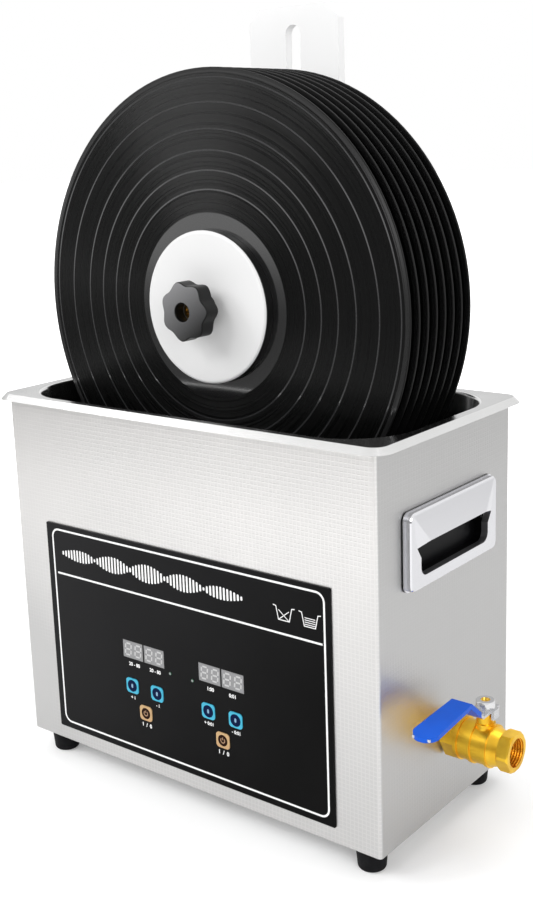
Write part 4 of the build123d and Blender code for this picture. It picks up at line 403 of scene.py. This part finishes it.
def lettered(name, words, face, thickness, finish, body):
    """Short marks, each (text, x, z, height, bold) in millimetres, centred on x with its foot at z."""
    mesh = bmesh.new()
    for text, px, pz, height, bold in words:
        curve = bpy.data.curves.new(name, "FONT")
        curve.body = text
        curve.align_x = "CENTER"
        curve.size = height * MM / CAPITAL_SHARE
        curve.offset = bold * MM
        curve.extrude = thickness / 2
        holder = bpy.data.objects.new(name, curve)
        bpy.context.scene.collection.objects.link(holder)
        bpy.context.view_layer.update()
        flat = bpy.data.meshes.new_from_object(holder.evaluated_get(bpy.context.evaluated_depsgraph_get()))
        place = Matrix.Translation((MIDDLE.x + px * MM, face - thickness / 2, pz * MM))
        flat.transform(place @ Matrix.Rotation(radians(90), 4, "X"))
        mesh.from_mesh(flat)
        bpy.data.objects.remove(holder)
        bpy.data.curves.remove(curve)
        bpy.data.meshes.remove(flat)
    bmesh.ops.remove_doubles(mesh, verts=mesh.verts, dist=WELD)
    lay_on(name, mesh, finish, body)


white_ink = paint_of("white_ink", (0.86, 0.86, 0.86))
LINE, THIN = 1.35, 0.6
PANEL_FRAME, FRAME_RADIUS = (-118.9, 118.1, 33.6, 181.4), 6.0
DIVIDER = [(-116.0, 148.9), (116.3, 148.6)]
BASKET = [(0.0, 166.6), (2.2, 166.2), (4.0, 157.6), (12.4, 157.6), (14.4, 166.2), (16.6, 166.6)]
CROSS = [[(4.6, 158.0), (12.2, 164.0)], [(4.2, 164.0), (11.8, 158.0)]]
RUNGS = [[(4.4, level), (12.4, level)] for level in (158.9, 160.3, 161.7, 163.1)]
shapes = stroke(rounded(*PANEL_FRAME, FRAME_RADIUS), LINE, closed=True) + stroke(DIVIDER, LINE)
for left, filling, width in ((79.3, CROSS, 0.55), (99.0, RUNGS, 0.5)):
    shapes += stroke([(left + px, pz) for px, pz in BASKET], THIN)
    for path in filling:
        shapes += stroke([(left + px, pz) for px, pz in path], width)
printed("panel_print", shapes, PANEL_FACE, INK, white_ink, "machine")

BAND_LEFT, BAND_MIDDLE = -110.5 * MM, 164.8 * MM
band = Growth("panel_bars", bars=58, length=166.0 * MM, half_width=0.8 * MM, shortest=0.9 * MM,
              swelling=5.6 * MM, waves=5.0, ink=INK)
spacing = band.size("length") / band.size("bars")
start = band.node("ShaderNodeCombineXYZ", {}, {0: spacing * 0.5})
apart = band.node("ShaderNodeCombineXYZ", {}, {0: spacing})
line = band.node("GeometryNodeMeshLine", {}, {"Count": band.size("bars"), "Start Location": start.outputs[0],
                                              "Offset": apart.outputs[0]})
share = (band.value("GeometryNodeInputIndex", {}, {}) + 0.5) / band.size("bars")
wave = (share * band.size("waves") * pi).maths("SINE").maths("ABSOLUTE").maths("POWER", 0.8)
swell = wave * ((share * pi).maths("SINE") * 0.55 + 0.45)
reach = band.size("shortest") - band.size("half_width") + band.size("swelling") * swell
marked = band.node("GeometryNodeStoreNamedAttribute", {"data_type": "FLOAT", "domain": "POINT"},
                   {"Geometry": line.outputs[0], "Name": "reach", "Value": reach})
pill = band.node("GeometryNodeMeshCylinder", {"fill_type": "NGON"},
                 {"Vertices": 20, "Radius": band.size("half_width"), "Depth": band.size("ink")})
upright = band.node("GeometryNodeTransform", {}, {"Geometry": pill.outputs[0], "Rotation": (pi / 2, 0.0, 0.0)})
row = band.node("GeometryNodeInstanceOnPoints", {}, {"Points": marked.outputs[0],
                                                     "Instance": upright.outputs[0]})
bars = band.node("GeometryNodeRealizeInstances", {}, {"Geometry": row.outputs[0]})
corner = band.node("GeometryNodeInputPosition", {}, {})
above = Value(band, band.node("ShaderNodeSeparateXYZ", {}, {0: corner.outputs[0]}).outputs[2]).maths("SIGN")
own_reach = band.value("GeometryNodeInputNamedAttribute", {"data_type": "FLOAT"}, {"Name": "reach"})
push = band.node("ShaderNodeCombineXYZ", {}, {2: above * own_reach})
drawn_out = band.node("GeometryNodeSetPosition", {}, {"Geometry": bars.outputs[0], "Offset": push.outputs[0]})
set_down = band.node("GeometryNodeTransform", {}, {
    "Geometry": drawn_out.outputs[0], "Translation": (MIDDLE.x + BAND_LEFT, PANEL_FACE - INK / 2, BAND_MIDDLE)})
clean = band.node("GeometryNodeRemoveAttribute", {}, {"Geometry": set_down.outputs[0], "Name": "reach"})
panel_bars = band.mesh(clean, white_ink)
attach(panel_bars, "machine")


# Displays: pairs of two-digit light modules in grey epoxy, set in windows of the panel.  Unlit, each
# digit shows seven pale diffusing bars on the grey face.
smoke = Finish("display_smoke", (0.27, 0.27, 0.275), 0.32, Coat_Weight=0.3, Coat_Roughness=0.12)
film = smoke.noise(800.0, 2.0)
smoke.feed("Roughness", 0.26 + film * 0.12)
smoke.feed("Base Color", smoke.mix(film, (0.21, 0.21, 0.215), (0.26, 0.26, 0.265)))
dress(smoke, "display_smoke", "temperature_display", "timer_display")

DIGITS = (-14.3, -5.2, 5.2, 14.3)
DIGIT_RISE, DIGIT_HALF, BAR = 4.2, 2.6, 1.15
LEVEL_GAP, UPRIGHT_GAP = 0.8, 0.7
LEAN = 0.1
JOINT_HALF = 0.6


def middle_of(low, high):
    """The X and Z of a box's middle, in the millimetres that the prints use."""
    return ((low.x + high.x) / 2 - MIDDLE.x) / MM, (low.z + high.z) / 2 / MM


def digit_bars(px, pz):
    """The seven bars of a digit with its middle at a point."""
    paths = [[(LEVEL_GAP - DIGIT_HALF, level), (DIGIT_HALF - LEVEL_GAP, level)]
             for level in (-DIGIT_RISE, 0.0, DIGIT_RISE)]
    for side in (-DIGIT_HALF, DIGIT_HALF):
        for low, high in ((UPRIGHT_GAP - DIGIT_RISE, -UPRIGHT_GAP), (UPRIGHT_GAP, DIGIT_RISE - UPRIGHT_GAP)):
            paths.append([(side, low), (side, high)])
    return [quad for path in paths
            for quad in stroke([(px + across + level * LEAN, pz + level) for across, level in path], BAR)]


pale = paint_of("segment_pale", (0.50, 0.50, 0.50), 0.4)
for name in ("temperature_display", "timer_display"):
    low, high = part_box(name)
    middle_x, middle_z = middle_of(low, high)
    shapes = [quad for digit in DIGITS for quad in digit_bars(middle_x + digit, middle_z)]
    printed(name + "_segments", shapes, low.y, INK, pale, "machine")
    joint = [(middle_x - JOINT_HALF, low.z / MM), (middle_x + JOINT_HALF, low.z / MM),
             (middle_x + JOINT_HALF, high.z / MM), (middle_x - JOINT_HALF, high.z / MM)]
    printed(name + "_joint", [joint], low.y, 2 * INK, polyester, "machine")
CAPTION_FOOT, CAPTION_HEIGHT, CAPTION_BOLD = 94.4, 2.5, 0.11
marks = [(text, px, CAPTION_FOOT, CAPTION_HEIGHT, CAPTION_BOLD)
         for text, px in (("20 - 80", -44.5), ("20 - 80", -25.0), ("1:00", 24.5), ("0:01", 43.5))]


# Control board: a green glass-fibre board behind the panel, carrying the displays, six key switches and
# two small clear light-emitting diodes that show through the panel.
board = Finish("circuit_board", (0.03, 0.16, 0.08), 0.4)
tracks = board.noise(420.0, 1.0)
board.feed("Base Color", board.mix(tracks.step(0.48, 0.52), (0.02, 0.13, 0.06), (0.05, 0.22, 0.11)))
board.feed("Roughness", 0.35 + tracks * 0.15)
board.bump(tracks.step(0.48, 0.52), 0.03, 0.5)
dress(board, "circuit_board", "control_board", "generator_board")

LENS_STEP = 0.3 * MM
LENS_HEIGHT, LENS_RADIUS = 97.6, 0.85
lens = paint_of("clear_lens", (0.26, 0.26, 0.27), 0.2)
shapes = [arc((px, LENS_HEIGHT), LENS_RADIUS, 0, 348, 20) for px in (-11.0, 9.0)]
printed("light_lenses", shapes, PANEL_FACE - LENS_STEP, INK, lens, "machine")


# Keys: moulded caps that stand half a millimetre out of the panel.  Four are printed light blue with a
# dark disc and a pale spot, and the two switches below are tan with a dark disc and a power sign.
cyan = paint_of("cyan_key", (0.036, 0.40, 0.58), 0.38)
tan_paint = Finish("tan_key", (0.62, 0.36, 0.16), 0.42)
film = tan_paint.noise(1600.0, 2.0)
_, _, z = tan_paint.place()
tan_paint.feed("Roughness", 0.38 + film * 0.12)
# The tan keys are painted darker towards the bottom, as shade.
tan_paint.feed("Base Color", tan_paint.mix(z.step(48.0, 62.0), (0.44, 0.22, 0.11), (0.53, 0.34, 0.16)))
navy = paint_of("navy_ink", (0.001, 0.008, 0.045), 0.4, Specular_IOR_Level=0.05)
brown = paint_of("brown_ink", (0.018, 0.005, 0.002), 0.4, Specular_IOR_Level=0.05)
spot = paint_of("pale_spot", (0.20, 0.36, 0.52), 0.4)
sign = paint_of("sign_ink", (0.42, 0.25, 0.14), 0.4)
DISC_TURN, DISC_STEPS = 350, 35
RING_RADIUS, DISC_RADIUS = 4.3, 4.0
for name, caption in (("temp_up", "+ 1"), ("temp_down", "- 1"), ("time_up", "+ 0:01"), ("time_down", "- 0:01")):
    node = name + "_button"
    low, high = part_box(node)
    key_x, key_z = middle_of(low, high)
    dress(cyan, "cyan_key", node)
    ring = arc((key_x, key_z), RING_RADIUS, 0, DISC_TURN, DISC_STEPS)
    printed(name + "_ring", [ring], low.y, INK, navy, node + "_body")
    pill = rounded(key_x - 0.8, key_x + 0.8, key_z - 1.5, key_z + 1.5, 0.75, 4)
    printed(name + "_spot", [pill], low.y - INK, INK, spot, node + "_body")
    marks.append((caption, key_x, key_z - 10.0, 2.3, 0.10))
for name in ("heater", "ultrasonic"):
    node = name + "_button"
    low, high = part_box(node)
    key_x, key_z = middle_of(low, high)
    dress(tan_paint, "tan_key", node)
    disc = arc((key_x, key_z), DISC_RADIUS, 0, DISC_TURN, DISC_STEPS)
    printed(name + "_disc", [disc], low.y, INK, brown, node + "_body")
    power = stroke(arc((key_x, key_z), 1.7, 130, 410, 20), THIN)
    power += stroke([(key_x, key_z + 0.4), (key_x, key_z + 2.2)], THIN)
    printed(name + "_sign", power, low.y - INK, INK, sign, node + "_body")
    marks.append(("1  /  0", key_x, key_z - 10.2, 2.7, 0.13))
lettered("panel_marks", marks, PANEL_FACE, INK, white_ink, "machine")


# Drain plumbing: a clear silicone hose from the tank's spigot to the wall nipple, held by two worm-drive
# clamps.  The nipple and its lock nut are turned brass.
hose = Finish("silicone_hose", (0.62, 0.61, 0.57), 0.42, Transmission_Weight=0.25)
film = hose.noise(120.0, 2.0)
hose.feed("Roughness", 0.36 + film * 0.14)
dress(hose, "silicone_hose", "drain_hose")

brass = Finish("valve_brass", (0.84, 0.54, 0.06), 0.24, 1.0)
cast = brass.noise(420.0, 3.0)
stain = brass.noise(60.0, 3.0)
brass.feed("Roughness", 0.27 + cast * 0.10 + stain * 0.06)
brass.feed("Base Color", brass.mix(stain.step(0.35, 0.7), (0.96, 0.60, 0.05), (0.78, 0.43, 0.03)))
brass.bump(cast, 0.04, 0.4)
dress(brass, "valve_brass", "drain_nipple", "nipple_locknut", "valve_adapter", "valve_body", "valve_stem")


# Ball valve: two brass halves screwed together, a chromed ball between white seats, and a pressed steel
# lever on the stem.  The outlet carries an inside pipe thread, and the lever a dipped blue vinyl grip.
ptfe = paint_of("seat_plastic", (0.80, 0.80, 0.78), 0.45)
dress(ptfe, "seat_plastic", "valve_seats")
plated = Finish("chromed_ball", (0.74, 0.74, 0.75), 0.12, 1.0)
haze = plated.noise(300.0, 2.0)
plated.feed("Roughness", 0.08 + haze * 0.10)
dress(plated, "chromed_ball", "valve_ball", "lever_nut")

vinyl = Finish("blue_vinyl", (0.005, 0.11, 0.62), 0.28, Specular_IOR_Level=0.2)
sag = vinyl.noise(90.0, 2.0)
vinyl.feed("Roughness", 0.34 + sag * 0.12)
vinyl.feed("Base Color", vinyl.mix(sag, (0.002, 0.080, 0.54), (0.004, 0.105, 0.64)))
vinyl.bump(sag, 0.25, 0.4)
dress(vinyl, "blue_vinyl", "lever_sleeve")

DRAIN_AXIS = (MIDDLE.y, 68.6 * MM)
THREAD_TURNS = 5.0
THREAD_PITCH = 1.81 * MM
THREAD_INSET = 1.0 * MM
thread_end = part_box("valve_body")[1].x - THREAD_INSET
amber = Finish("thread_brass", (0.88, 0.42, 0.04), 0.28, 1.0)
grain = amber.noise(900.0, 2.0)
amber.feed("Roughness", 0.22 + grain * 0.12)
ridge = Growth("outlet_thread", turns=THREAD_TURNS, pitch=THREAD_PITCH, radius=9.25 * MM, tooth=0.75 * MM)
helix = ridge.node("GeometryNodeCurveSpiral", {}, {
    "Resolution": 48, "Rotations": ridge.size("turns"), "Start Radius": ridge.size("radius"),
    "End Radius": ridge.size("radius"), "Height": ridge.size("turns") * ridge.size("pitch")})
level_helix = ridge.node("GeometryNodeSetCurveNormal", {"mode": "Z_UP"}, {"Curve": helix.outputs[0]})
tooth = ridge.node("GeometryNodeCurvePrimitiveCircle", {}, {"Resolution": 4, "Radius": ridge.size("tooth")})
swept = ridge.node("GeometryNodeCurveToMesh", {}, {"Curve": level_helix.outputs[0],
                                                   "Profile Curve": tooth.outputs[0], "Fill Caps": True})
laid = ridge.node("GeometryNodeTransform", {}, {
    "Geometry": swept.outputs[0], "Rotation": (0.0, pi / 2, 0.0),
    "Translation": (thread_end - THREAD_TURNS * THREAD_PITCH, *DRAIN_AXIS)})
outlet_thread = ridge.mesh(laid, amber)
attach(outlet_thread, "machine")


# Ultrasonic transducers: turned aluminium horns glued to the tank floor, each with two ceramic rings and a
# steel back mass held by one bolt.  Between them are moulded silicone heating pads.
cast_aluminium = Finish("cast_aluminium", (0.68, 0.68, 0.69), 0.32, 1.0)
turning = cast_aluminium.noise(500.0, 2.0, (1.0, 1.0, 0.1))
cast_aluminium.feed("Roughness", 0.26 + turning * 0.16)
cast_aluminium.bump(turning, 0.03, 0.4)
dress(cast_aluminium, "cast_aluminium", "transducer_horns")
ceramic = paint_of("piezo_ceramic", (0.26, 0.23, 0.20), 0.5)
dress(ceramic, "piezo_ceramic", "transducer_piezos")
pad = paint_of("silicone_heater", (0.42, 0.09, 0.05), 0.55)
dress(pad, "silicone_heater", "heater_pads")


# Fan, mains inlet and switch: black mouldings in the lower half of the back wall.  The fan frame is held
# by four screws and its seven-bladed rotor turns on a fixed pin; the inlet has three flat blades.  The
# motor box on the lift plate is of the same plastic.
moulded = Finish("black_plastic", (0.010, 0.010, 0.011), 0.45, Specular_IOR_Level=0.3)
grain = moulded.noise(1500.0, 3.0)
moulded.feed("Roughness", 0.38 + grain * 0.18)
moulded.feed("Base Color", moulded.mix(grain, (0.009, 0.009, 0.010), (0.016, 0.016, 0.017)))
moulded.bump(grain, 0.03, 0.45)
dress(moulded, "black_plastic", "fan_frame", "fan_rotor", "mains_inlet", "switch_body", "motor_box",
      "motor_cover")
polished = Finish("gloss_black", (0.015, 0.015, 0.016), 0.16)
wipe = polished.noise(120.0, 2.0)
polished.feed("Roughness", 0.12 + wipe * 0.12)
dress(polished, "gloss_black", "switch_rocker", "low_voltage_socket")


# Lift plate, hook, discs and knobs: white acetal cut on a router, the plate with a long slot for the
# carriage.  The plate is painted brighter and the front disc dimmer, as painted light, and the front disc's
# edge is painted black as shade.  The hand knobs are black with a painted highlight, the star knob on a
# brass insert that is painted darker as shade.
def white_sheet(name, tint_and_painted_light):
    """White acetal with faint mill marks, in a tint that also carries painted light: pieces are made brighter
    or darker to stand in for how each is lit.
    """
    made = Finish(name, (tint_and_painted_light,) * 3, 0.38, Specular_IOR_Level=0.35)
    mill = made.noise(700.0, 2.0, (1.0, 0.15, 1.0))
    cloud = made.noise(25.0, 2.0)
    made.feed("Roughness", 0.32 + mill * 0.12)
    made.feed("Base Color", made.mix(cloud, (tint_and_painted_light * 0.98,) * 3, (tint_and_painted_light,) * 3))
    made.bump(mill, 0.01, 0.3)
    return made


# The plate is painted brighter than the discs: painted light.
acetal = white_sheet("plate_acetal", 0.95)
dress(acetal, "white_plastic", "lift_plate", "rim_hook", "slide_block")
clamping = white_sheet("disc_acetal", 0.86)
dress(clamping, "white_plastic", "rear_disc", "record_spacers")
# The front disc's face is painted dimmer than the rear disc, and its side black: painted shade.
front_disc_painted_shade = white_sheet("lipped_acetal", 0.75)
_, flat_on, _ = front_disc_painted_shade.facing()
front_disc_painted_shade.feed("Base Color", front_disc_painted_shade.mix(flat_on.step(0.40, 0.55), (0.004, 0.004, 0.004), (0.76, 0.76, 0.76)))
dress(front_disc_painted_shade, "white_plastic", "front_disc")

grip = Finish("knob_black", (0.006, 0.006, 0.007), 0.42, Specular_IOR_Level=0.25)
grain = grip.noise(2000.0, 2.0)
x, y, z = grip.place()
_, flat_on, _ = grip.facing()
KNOB_MIDDLE = 332.0
# The knob fronts are painted lighter towards the upper left: a painted highlight.
knob_painted_highlight = flat_on.step(0.75, 0.97) * ((z - x * 0.7 - KNOB_MIDDLE) * 0.022 + 0.25 + grain * 0.1).clamp()
grip.feed("Roughness", 0.36 + grain * 0.12)
grip.feed("Base Color", grip.mix(knob_painted_highlight, (0.003, 0.003, 0.003), (0.20, 0.20, 0.205)))
grip.bump(grain, 0.02, 0.4)
dress(grip, "knob_black", "hook_clamp_knob", "carriage_lock_knob", "star_knob")
# The insert is brass painted much darker than the valve's, as shade deep in the knob's hole.
shaded_brass = Finish("insert_brass", (0.40, 0.24, 0.06), 0.16, 1.0)
grain = shaded_brass.noise(700.0, 2.0)
shaded_brass.feed("Roughness", 0.12 + grain * 0.10)
shaded_brass.feed("Base Color", shaded_brass.mix(grain, (0.34, 0.20, 0.05), (0.46, 0.29, 0.08)))
dress(shaded_brass, "valve_brass", "knob_insert")


# Records: pressed black vinyl with a raised bead, fine grooves in bands that are parted by narrow smooth
# rings, and a smooth run-out next to the label.  Black rubber rings seal the label on both sides.
SPINDLE_Z = 340.5
GROOVE_PITCH = 0.55
TILT = 0.36
RUN_OUT = (60.6, 61.2)
PAUSES = (75.5, 87.6, 100.2, 113.3, 129.8, 145.0)
BEAD = (147.2, 147.8)
vinyl_disc = Finish("record_vinyl", (0.003, 0.003, 0.003), 0.22, Specular_IOR_Level=0.2, Coat_Roughness=0.10,
                    Coat_IOR=1.9)
x, y, z = vinyl_disc.place()
rise = z - SPINDLE_Z
away = (x * x + rise * rise).maths("SQRT")
loudness = vinyl_disc.value("ShaderNodeTexNoise", {"noise_dimensions": "1D"},
                            {"W": away * 0.45, "Scale": 1.0, "Detail": 4.0})
pauses = None
for radius in PAUSES:
    pause = 1 - (away - radius).maths("ABSOLUTE").step(0.25, 0.65)
    pauses = pause if pauses is None else pauses.maths("MAXIMUM", pause)
_, flat_on, _ = vinyl_disc.facing()
face = flat_on.step(0.80, 0.95)
run_out = 1 - away.step(*RUN_OUT)
bead = away.step(*BEAD)
grooved = face * (1 - run_out) * (1 - bead) * (1 - pauses)
vinyl_disc.feed("Roughness", 0.20 + grooved * loudness * 0.16 + bead * 0.3)
smooth = (pauses * 0.9 + run_out + bead * 0.6).clamp() * face
# The smooth rings, the run-out and the bead are painted lighter: painted sheen.
painted_sheen = (pauses * 0.5 + run_out * 0.12 + bead * 0.06) * face
vinyl_disc.feed("Base Color", vinyl_disc.mix(painted_sheen, (0.0005, 0.0005, 0.0005), (0.055, 0.055, 0.057)))
vinyl_disc.feed("Coat Weight", smooth)
slope = (away * (2 * pi / GROOVE_PITCH)).maths("SINE") * grooved * (loudness * 0.9 + 0.45) * TILT
own_lean = vinyl_disc.node("ShaderNodeCombineXYZ", {}, {0: slope * x / away, 2: slope * rise / away})
lean = vinyl_disc.node("ShaderNodeVectorTransform", {"vector_type": "VECTOR", "convert_from": "OBJECT",
                                                     "convert_to": "WORLD"}, {0: own_lean.outputs[0]})
upright = vinyl_disc.node("ShaderNodeNewGeometry", {}, {}).outputs["Normal"]
tipped = vinyl_disc.node("ShaderNodeVectorMath", {"operation": "ADD"}, {0: upright, 1: lean.outputs[0]})
normal = vinyl_disc.node("ShaderNodeVectorMath", {"operation": "NORMALIZE"}, {0: tipped.outputs[0]})
vinyl_disc.feed("Normal", normal.outputs[0])
dress(vinyl_disc, "record_vinyl", "records")
seal = paint_of("seal_rubber", (0.012, 0.012, 0.012), 0.6, Specular_IOR_Level=0.2)
dress(seal, "seal_rubber", "label_seals")


# Studio: a pale floor that keeps the machine's shadow, soft lamps above, and an even pale surround that
# bright metal also reflects.  In mirrors the floor is darker at middle distance in front.
FLOOR_HALF = 12
paper = Finish("studio_paper", (0.86, 0.86, 0.86), 0.9, Emission_Strength=1.0)
x, y, z = paper.place()
distance = (x * x + y * y).maths("SQRT")
rays = paper.node("ShaderNodeLightPath", {}, {})
seen = Value(paper, rays.outputs["Is Camera Ray"])
mirrored = Value(paper, rays.outputs["Is Glossy Ray"])
front = 1 - y.step(-300.0, 300.0)
beyond = distance.step(2200.0, 5000.0)
dim = mirrored * distance.step(800.0, 1500.0) * (1 - beyond) + (1 - mirrored) * distance.step(900.0, 1800.0)
paper.feed("Base Color", paper.mix(dim * front, (0.86, 0.86, 0.86), (0.10, 0.10, 0.10)))
glow = seen * (0.18 + distance.step(300.0, 1100.0)).clamp() + mirrored * beyond * front * 0.4
paper.feed("Emission Color", paper.mix(glow, (0.0, 0.0, 0.0), (1.0, 1.0, 1.0)))
flat = bpy.data.meshes.new("studio_floor")
flat.from_pydata([(-FLOOR_HALF, -FLOOR_HALF, 0), (FLOOR_HALF, -FLOOR_HALF, 0), (FLOOR_HALF, FLOOR_HALF, 0),
                  (-FLOOR_HALF, FLOOR_HALF, 0)], [], [(0, 1, 2, 3)])
flat.materials.append(paper.material)
studio_floor = bpy.data.objects.new("studio_floor", flat)
bpy.context.scene.collection.objects.link(studio_floor)

world = bpy.data.worlds.new("studio_surround")
bpy.context.scene.world = world
world.use_nodes = True
surround = Sheet(world.node_tree)
background = surround.tree.nodes["Background"]
background.inputs["Color"].default_value = (1.0, 1.0, 1.0, 1.0)
rays = surround.node("ShaderNodeLightPath", {}, {}).outputs
heading = surround.node("ShaderNodeTexCoord", {}, {}).outputs["Generated"]
_, depth, height = surround.node("ShaderNodeSeparateXYZ", {}, {0: heading}).outputs


def between(share, low, high, start, end):
    """A level: start where the share is below low, end where it is above high, even between."""
    return surround.node("ShaderNodeMapRange", {}, {"Value": share, "From Min": low, "From Max": high,
                                                    "To Min": start, "To Max": end}).outputs[0]


overhead = between(height, 0.20, 0.60, 0.32, 1.0)
in_mirrors = between(depth, -0.2, 0.6, overhead, 1.0)
reflected = between(rays["Is Glossy Ray"], 0.0, 1.0, 0.70, in_mirrors)
through = between(rays["Is Transmission Ray"], 0.0, 1.0, reflected, 1.0)
level = between(rays["Is Camera Ray"], 0.0, 1.0, through, 1.0)
surround.tree.links.new(level, background.inputs["Strength"])


def softbox(name, place, target, width, height, power):
    """A soft rectangular lamp that looks at a point."""
    lamp = bpy.data.lights.new(name, "AREA")
    lamp.shape = "RECTANGLE"
    lamp.size = width
    lamp.size_y = height
    lamp.energy = power
    holder = bpy.data.objects.new(name, lamp)
    bpy.context.scene.collection.objects.link(holder)
    holder.location = place
    holder.rotation_euler = (Vector(target) - Vector(place)).to_track_quat("-Z", "Y").to_euler()


softbox("key_lamp", (-1.45, -1.25, 1.45), (0, 0, 0.25), 1.1, 1.1, 20.0)
softbox("front_lamp", (-0.45, -1.6, 1.55), (0, 0, 0.25), 0.5, 0.5, 8.0)
softbox("fill_lamp", (1.5, -0.9, 0.9), (0, 0, 0.25), 0.8, 1.0, 11.0)
softbox("top_lamp", (0.0, 0.5, 1.9), (0, 0, 0.2), 1.2, 1.2, 9.0)

YAW, PITCH, ROLL = 0.6804597, -0.2202504, -0.0359161
STAND = Vector((0.5280182, -0.6450310, 0.4465880))
RENDER_WIDTH, RENDER_HEIGHT = 533.0, 901.0
FOCAL = 1240.4777
OPTICAL_CENTRE = (256.8256, 416.4457)
SENSOR = 36.0
forward = Vector((-sin(YAW) * cos(PITCH), cos(YAW) * cos(PITCH), sin(PITCH)))
right = Vector((cos(YAW), sin(YAW), 0.0))
up = right.cross(forward)
right, up = cos(ROLL) * right + sin(ROLL) * up, -sin(ROLL) * right + cos(ROLL) * up
camera = bpy.data.objects.new("studio_camera", bpy.data.cameras.new("studio_camera"))
bpy.context.scene.collection.objects.link(camera)
turn = Matrix((right, up, -forward)).transposed().to_4x4()
camera.matrix_world = Matrix.Translation(MIDDLE + STAND) @ turn
camera.data.sensor_width = SENSOR
camera.data.lens = FOCAL / RENDER_HEIGHT * SENSOR
camera.data.shift_x = (RENDER_WIDTH / 2 - OPTICAL_CENTRE[0]) / RENDER_HEIGHT
camera.data.shift_y = (OPTICAL_CENTRE[1] - RENDER_HEIGHT / 2) / RENDER_HEIGHT
camera.data.clip_start = 0.05
camera.data.clip_end = 60.0
bpy.context.scene.camera = camera
bpy.context.scene.view_settings.view_transform = "Standard"
